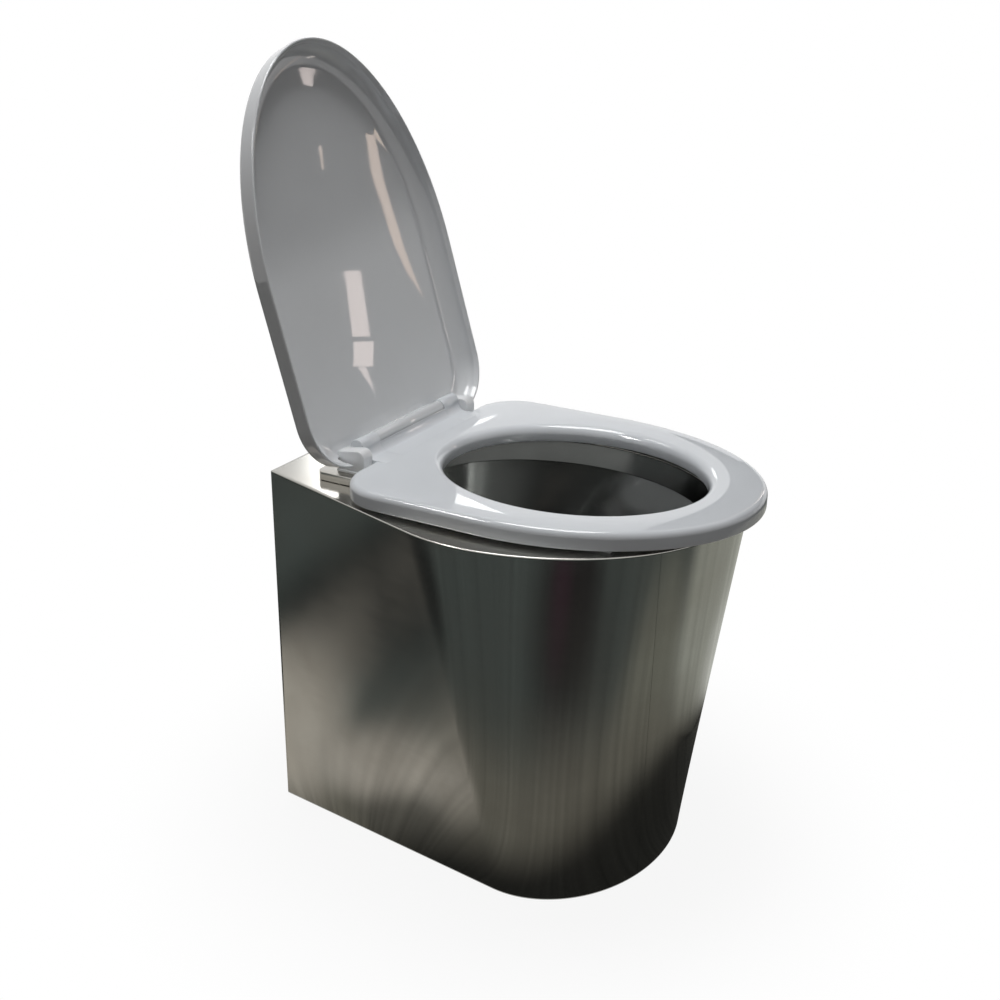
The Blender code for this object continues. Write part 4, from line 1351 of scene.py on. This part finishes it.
def square(half: float, height: float) -> tuple[Point, ...]:
    """The corners of a level square round the origin."""
    return ((-half, -half, height), (half, -half, height), (half, half, height), (-half, half, height))


def bare_material(name: str) -> tuple[Material, Tree, Node]:
    """A material without a shader, and its output.

    Args:
        name: the material's name.

    Returns:
        The material, its node tree and its output node.
    """
    made, tree, shader = empty_material(name)
    tree.nodes.remove(shader)
    return made, tree, tree.nodes["Material Output"]


def stage_sheet(name: str, corners: tuple[Point, ...], paper: Material, mirrored: bool) -> None:
    """Adds a flat sheet that isn't part of the object.

    Args:
        name: the sheet's name.
        corners: its corners in order.
        paper: its material.
        mirrored: whether only mirrored rays see it.
    """
    shape = bmesh.new()
    shape.faces.new([shape.verts.new(corner) for corner in corners])
    made = bpy.data.objects.new(name, to_mesh(name, shape))
    if mirrored:
        made.visible_camera = made.visible_diffuse = made.visible_shadow = False
    made.data.materials.append(paper)
    bpy.context.scene.collection.objects.link(made)


@dataclass(frozen=True)
class Card:
    """An upright sheet in the studio that only mirrored rays see: a painted highlight or a painted dark
    reflection.

    It stands square to a direction, with its corners given across and up. It may fade from
    a second colour below to its own above, between two heights.
    """

    name: str
    azimuth: float
    distance: float
    corners: tuple[PlanPoint, ...]
    colour: str
    strength: float = 1.0
    below: str = WHITE
    fade: PlanPoint | None = None

    @classmethod
    def panel(cls, name: str, azimuth: float, distance: float, half: float, heights: PlanPoint,
              colour: str, strength: float = 1.0, fade: PlanPoint | None = None) -> "Card":
        """A card with a rectangle's corners.

        Args:
            name: the card's name.
            azimuth: the direction that it stands in, in degrees from +X.
            distance: how far off it stands.
            half: half its width.
            heights: its lower and its upper edge.
            colour: its colour.
            strength: its brightness, 1 for the colour as it is written.
            fade: the heights between which it turns from white to its colour.

        Returns:
            The card.
        """
        low, high = heights
        corners = ((-half, low), (half, low), (half, high), (-half, high))
        return cls(name, azimuth, distance, corners, colour, strength, fade=fade)

    def spot(self, across: float, height: float) -> Point:
        """A point on the card's plane."""
        turn = math.radians(self.azimuth)
        return (self.distance * math.cos(turn) - across * math.sin(turn),
                self.distance * math.sin(turn) + across * math.cos(turn), height)

    def build(self) -> None:
        """Builds the card and adds it to the scene."""
        paper, tree, output = bare_material(self.name)
        glow = add_node(tree, "Emission", {"Color": to_linear(self.colour), "Strength": self.strength})
        if self.fade:
            where = add_node(tree, "TexCoord").outputs["Object"]
            parts = add_node(tree, "SeparateXYZ", None, {0: where})
            share = add_node(tree, "MapRange",
                             {"interpolation_type": "SMOOTHSTEP", "From Min": self.fade[0],
                              "From Max": self.fade[1]}, {"Value": parts.outputs["Z"]})
            tone = add_node(tree, "Mix",
                            {"data_type": "RGBA", 6: to_linear(self.below), 7: to_linear(self.colour)},
                            {0: share})
            set_node(tree, glow, None, {"Color": tone})
        set_node(tree, output, None, {"Surface": glow})
        stage_sheet(self.name, tuple(self.spot(*corner) for corner in self.corners), paper, True)


@dataclass(frozen=True)
class Reflected:
    """Glowing and dark cards that only the glossy parts mirror, as painted highlights and painted dark
    reflections: bright panes and strips close by, and cards further off.
    """

    azimuth: float = -37.0
    distance: float = 0.6
    # Panes and strips that paint highlights on the inside of the lid.
    pane_colour: str = "#fff0ea"
    pane_strength: float = 5.5
    panes: tuple[tuple[PlanPoint, ...], ...] = (
        ((0.158, 0.718), (0.182, 0.707), (0.145, 0.606), (0.119, 0.620)),
        ((0.117, 0.612), (0.146, 0.597), (0.126, 0.562), (0.097, 0.577)),
        ((0.103, 0.572), (0.115, 0.567), (0.108, 0.522)),
        ((0.240, 1.022), (0.254, 1.011), (0.248, 0.999), (0.238, 1.007)),
    )
    strip_colour: str = "#ffe4d0"
    strip_strength: float = 4.0
    strips: tuple[tuple[PlanPoint, ...], ...] = (
        ((0.282, 0.898), (0.292, 0.888), (0.273, 0.820), (0.262, 0.761), (0.251, 0.703),
         (0.245, 0.660), (0.241, 0.621), (0.238, 0.672), (0.242, 0.726), (0.253, 0.784),
         (0.261, 0.835)),
        ((0.215, 0.912), (0.219, 0.910), (0.206, 0.875), (0.203, 0.877)),
    )
    # Dark cards paint dark reflections; glowing cards paint highlights on the deck, seat and bowl.
    cards: tuple[Card, ...] = (
        Card.panel("room_wall", -36.0, 4.0, 1.3, (0.0, 4.0), "#3d3633", fade=(1.15, 1.45)),
        Card.panel("far_window", 35.0, 4.0, 0.40, (1.75, 2.50), WHITE, 4.5),
        Card.panel("dark_wall", 0.0, 4.2, 1.35, (1.5, 4.4), "#101010"),
        Card.panel("high_light_rear", 141.0, 0.92, 0.12, (1.3, 1.8), WHITE, 26.0),
        Card.panel("high_light_right", 80.0, 0.75, 0.05, (1.4, 1.9), WHITE, 12.0),
        Card.panel("high_light_far", 24.0, 0.60, 0.20, (1.7, 2.1), WHITE, 4.0),
    )

    def build(self) -> None:
        """Builds every card."""
        for name, shapes, colour, strength in (
                ("painted_highlight_pane", self.panes, self.pane_colour, self.pane_strength),
                ("painted_highlight_strip", self.strips, self.strip_colour, self.strip_strength)):
            for number, corners in enumerate(shapes):
                Card(f"{name}_{number}", self.azimuth, self.distance, corners, colour, strength).build()
        for card in self.cards:
            card.build()


@dataclass(frozen=True)
class Pool:
    """A soft oval of tone on the floor that reflections see: a painted reflection.

    The reach is its half size along X and Y before it is turned, and the core is the
    share of the reach that has the full tone.
    """

    centre: PlanPoint
    reach: tuple[float, float]
    turn: float
    core: float
    colour: str
    amount: float = 1.0


@dataclass(frozen=True)
class MirroredFloor:
    """The toned sheet over the floor that only the steel mirrors: painted reflections, dark, with paler and
    darker pools and a painted contact shadow round the object's foot.
    """

    size: float = 5.0
    height: float = 0.001
    colour: str = "#555b59"
    streaks: float = 0.32
    streak_centre: PlanPoint = (-0.01, -0.02)
    streak_scale: float = 20.0
    streak_detail: float = 6.0
    streak_breaks: float = 0.75
    streak_span: PlanPoint = (0.35, 0.65)
    pools: tuple[Pool, ...] = (
        Pool((-0.60, -0.48), (0.44, 0.30), 35, 0.3, "#2c2929"),
        Pool((-0.62, -0.42), (0.20, 0.09), 35, 0.3, "#422b37", 0.8),
        Pool((0.0, -0.50), (0.24, 0.42), 0, 0.4, "#8c8c82"),
        Pool((0.60, -0.40), (0.58, 0.72), 0, 0.78, "#b2b3aa"),
        Pool((0.42, -0.24), (0.30, 0.22), 0, 0.2, "#d0d1ca"),
        Pool((-0.45, 0.54), (0.17, 0.34), 8, 0.5, "#232524"),
        Pool((-0.02, -0.08), (0.45, 0.50), 0, 0.62, "#7f7c73"),
        Pool((-0.225, 0.39), (0.092, 0.26), 24, 0.5, "#d6cfc5"),
        Pool((-0.225, 0.16), (0.068, 0.18), 0, 0.4, "#cdc6bd"),
        Pool((-0.18, 0.08), (0.06, 0.10), 0, 0.3, "#6a6862"),
        # A dark pool under the object: a painted contact shadow in the steel's reflections.
        Pool((0.06, -0.10), (0.32, 0.32), 0, 0.72, "#2c2c2a"),
    )

    def toned(self, tree: Tree, where: bpy.types.NodeSocket) -> Node:
        """Lays the pools over the sheet's own colour, one after the other.

        Args:
            tree: the sheet's node tree.
            where: the sheet's coordinates.

        Returns:
            The node with the mixed colour.
        """
        below: dict[int, Node] = {}
        for pool in self.pools:
            moved = add_node(tree, "VectorMath",
                             {"operation": "SUBTRACT", 1: (*pool.centre, self.height)}, {0: where})
            turned = add_node(tree, "VectorRotate",
                              {"rotation_type": "Z_AXIS", "Angle": math.radians(-pool.turn)},
                              {"Vector": moved})
            shrunk = add_node(tree, "VectorMath",
                              {"operation": "DIVIDE", 1: (*pool.reach, 1.0)}, {0: turned})
            far = add_node(tree, "VectorMath", {"operation": "LENGTH"}, {0: shrunk})
            fade = add_node(tree, "MapRange",
                            {"interpolation_type": "SMOOTHSTEP", "From Min": pool.core, "From Max": 1.0,
                             "To Min": pool.amount, "To Max": 0.0}, {"Value": far})
            mixed = add_node(tree, "Mix",
                             {"data_type": "RGBA", 6: to_linear(self.colour), 7: to_linear(pool.colour)},
                             {0: fade, **below})
            below = {6: mixed}
        return below[6]

    def build(self) -> None:
        """Builds the sheet with its pools and its soft streaks, and adds it to the scene."""
        paper, tree, output = bare_material("painted_reflection_floor_sheet")
        where = add_node(tree, "TexCoord").outputs["Object"]
        outward = add_node(tree, "VectorMath",
                           {"operation": "SUBTRACT", 1: (*self.streak_centre, self.height)}, {0: where})
        heading = add_node(tree, "VectorMath", {"operation": "NORMALIZE"}, {0: outward})
        rays = add_node(tree, "TexNoise",
                        {"Scale": self.streak_scale, "Detail": self.streak_detail,
                         "Roughness": self.streak_breaks}, {"Vector": heading})
        level = add_node(tree, "MapRange",
                         {"From Min": self.streak_span[0], "From Max": self.streak_span[1],
                          "To Min": 1 - self.streaks, "To Max": 1 + self.streaks},
                         {"Value": rays})
        glow = add_node(tree, "Emission", None, {"Color": self.toned(tree, where), "Strength": level})
        set_node(tree, output, None, {"Surface": glow})
        stage_sheet("mirrored_floor", square(self.size / 2, self.height), paper, True)


@dataclass(frozen=True)
class Studio:
    """The pale floor, the soft light, the cards and the camera."""

    floor_size: float = 30.0
    floor_colour: str = "#f2f2f2"
    floor_bounce: str = "#918d89"
    floor_glow: float = 0.9
    floor_near: float = 0.22
    floor_far: float = 0.5
    ambient: float = 0.24
    horizon_share: float = 0.3
    zenith_share: float = 1.4
    lamp_place: Point = (0.1, 0.33, 2.6)
    lamp_aim: Point = (0.1, 0.1, 0.4)
    lamp_size: float = 0.9
    lamp_power: float = 25.0
    camera_place: Point = (-1.17170, -0.62364, 0.92238)
    azimuth: float = -61.2639
    elevation: float = 22.0915
    roll: float = 0.9428
    lens: float = 46.995

    def seen_ray(self, tree: Tree) -> Node:
        """One for a ray from the camera, a reflection or a glass, else zero.

        Args:
            tree: the tree that gets the nodes.

        Returns:
            The node with the value.
        """
        path = add_node(tree, "LightPath").outputs
        first = add_node(tree, "Math", {"operation": "MAXIMUM"},
                         {0: path["Is Camera Ray"], 1: path["Is Glossy Ray"]})
        return add_node(tree, "Math", {"operation": "MAXIMUM"}, {0: first, 1: path["Is Transmission Ray"]})

    def build_world(self) -> None:
        """A white surround that lights the object only as a soft fill."""
        world = bpy.context.scene.world or bpy.data.worlds.new("studio")
        bpy.context.scene.world = world
        world.use_nodes = True
        tree = world.node_tree
        tree.nodes.clear()
        where = add_node(tree, "TexCoord").outputs["Generated"]
        heading = add_node(tree, "SeparateXYZ", None, {0: where})
        level = add_node(tree, "MapRange",
                         {"To Min": self.ambient * self.horizon_share,
                          "To Max": self.ambient * self.zenith_share}, {"Value": heading.outputs["Z"]})
        fill = add_node(tree, "Background", {"Color": to_linear(WHITE)}, {"Strength": level})
        white = add_node(tree, "Background", {"Color": to_linear(WHITE), "Strength": 1.0})
        mix = add_node(tree, "MixShader", None, {0: self.seen_ray(tree), 1: fill, 2: white})
        add_node(tree, "OutputWorld", None, {"Surface": mix})

    def build_floor(self) -> None:
        """A pale matt floor that keeps a soft shadow."""
        paint, tree, output = bare_material("matt_painted_floor")
        seen = self.seen_ray(tree)
        tone = add_node(tree, "Mix", {"data_type": "RGBA", 6: to_linear(self.floor_bounce),
                                                7: to_linear(self.floor_colour)}, {0: seen})
        matt = add_node(tree, "BsdfDiffuse", None, {"Color": tone})
        glow = add_node(tree, "Emission", {"Color": to_linear(WHITE), "Strength": 1.0})
        where = add_node(tree, "TexCoord").outputs["Object"]
        far = add_node(tree, "VectorMath", {"operation": "LENGTH"}, {0: where})
        fade = add_node(tree, "MapRange",
                        {"interpolation_type": "SMOOTHSTEP", "From Min": self.floor_near,
                         "From Max": self.floor_far, "To Min": self.floor_glow, "To Max": 1.0},
                        {"Value": far})
        share = add_node(tree, "Math", {"operation": "MULTIPLY"}, {0: seen, 1: fade})
        mix = add_node(tree, "MixShader", None, {0: share, 1: matt, 2: glow})
        set_node(tree, output, None, {"Surface": mix})
        stage_sheet("studio_floor", square(self.floor_size / 2, 0.0), paint, False)

    def build_lamp(self) -> None:
        """A soft square lamp high over the object."""
        lamp = bpy.data.lights.new("overhead_lamp", "AREA")
        lamp.shape, lamp.size, lamp.energy = "SQUARE", self.lamp_size, self.lamp_power
        made = bpy.data.objects.new("overhead_lamp", lamp)
        made.location = self.lamp_place
        aim = Vector(self.lamp_aim) - Vector(self.lamp_place)
        made.rotation_euler = aim.to_track_quat("-Z", "Y").to_euler()
        bpy.context.scene.collection.objects.link(made)

    def build_camera(self) -> None:
        """The camera at the photograph's view."""
        turn, lift, lean = (math.radians(angle) for angle in (self.azimuth, self.elevation, self.roll))
        back = Vector((math.sin(turn) * math.cos(lift), -math.cos(turn) * math.cos(lift), math.sin(lift)))
        right = Vector((math.cos(turn), math.sin(turn), 0))
        up = back.cross(right)
        level = right * math.cos(lean) + up * math.sin(lean)
        rise = up * math.cos(lean) - right * math.sin(lean)
        camera = bpy.data.cameras.new("camera")
        camera.lens, camera.sensor_width = self.lens, SENSOR_MM
        made = bpy.data.objects.new("camera", camera)
        made.matrix_world = (Matrix.Translation(self.camera_place)
                             @ Matrix((level, rise, back)).transposed().to_4x4())
        bpy.context.scene.collection.objects.link(made)
        bpy.context.scene.camera = made

    def build(self) -> None:
        """Builds the whole studio."""
        bpy.context.scene.view_settings.view_transform = "Standard"
        self.build_world()
        self.build_floor()
        self.build_lamp()
        self.build_camera()
        MirroredFloor().build()
        Reflected().build()


def main() -> None:
    """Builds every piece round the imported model."""
    logging.basicConfig(level=logging.INFO, format="%(name)s: %(message)s")
    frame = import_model()
    datum = Datum.measured(frame, PanPlan.rear_y)
    finishes = Finishes.mixed()
    for part in (Pan, Pipes, HingeSet, Seat, Lid):
        part(datum, finishes).build()
    Studio().build()


if __name__ == "__main__":
    main()
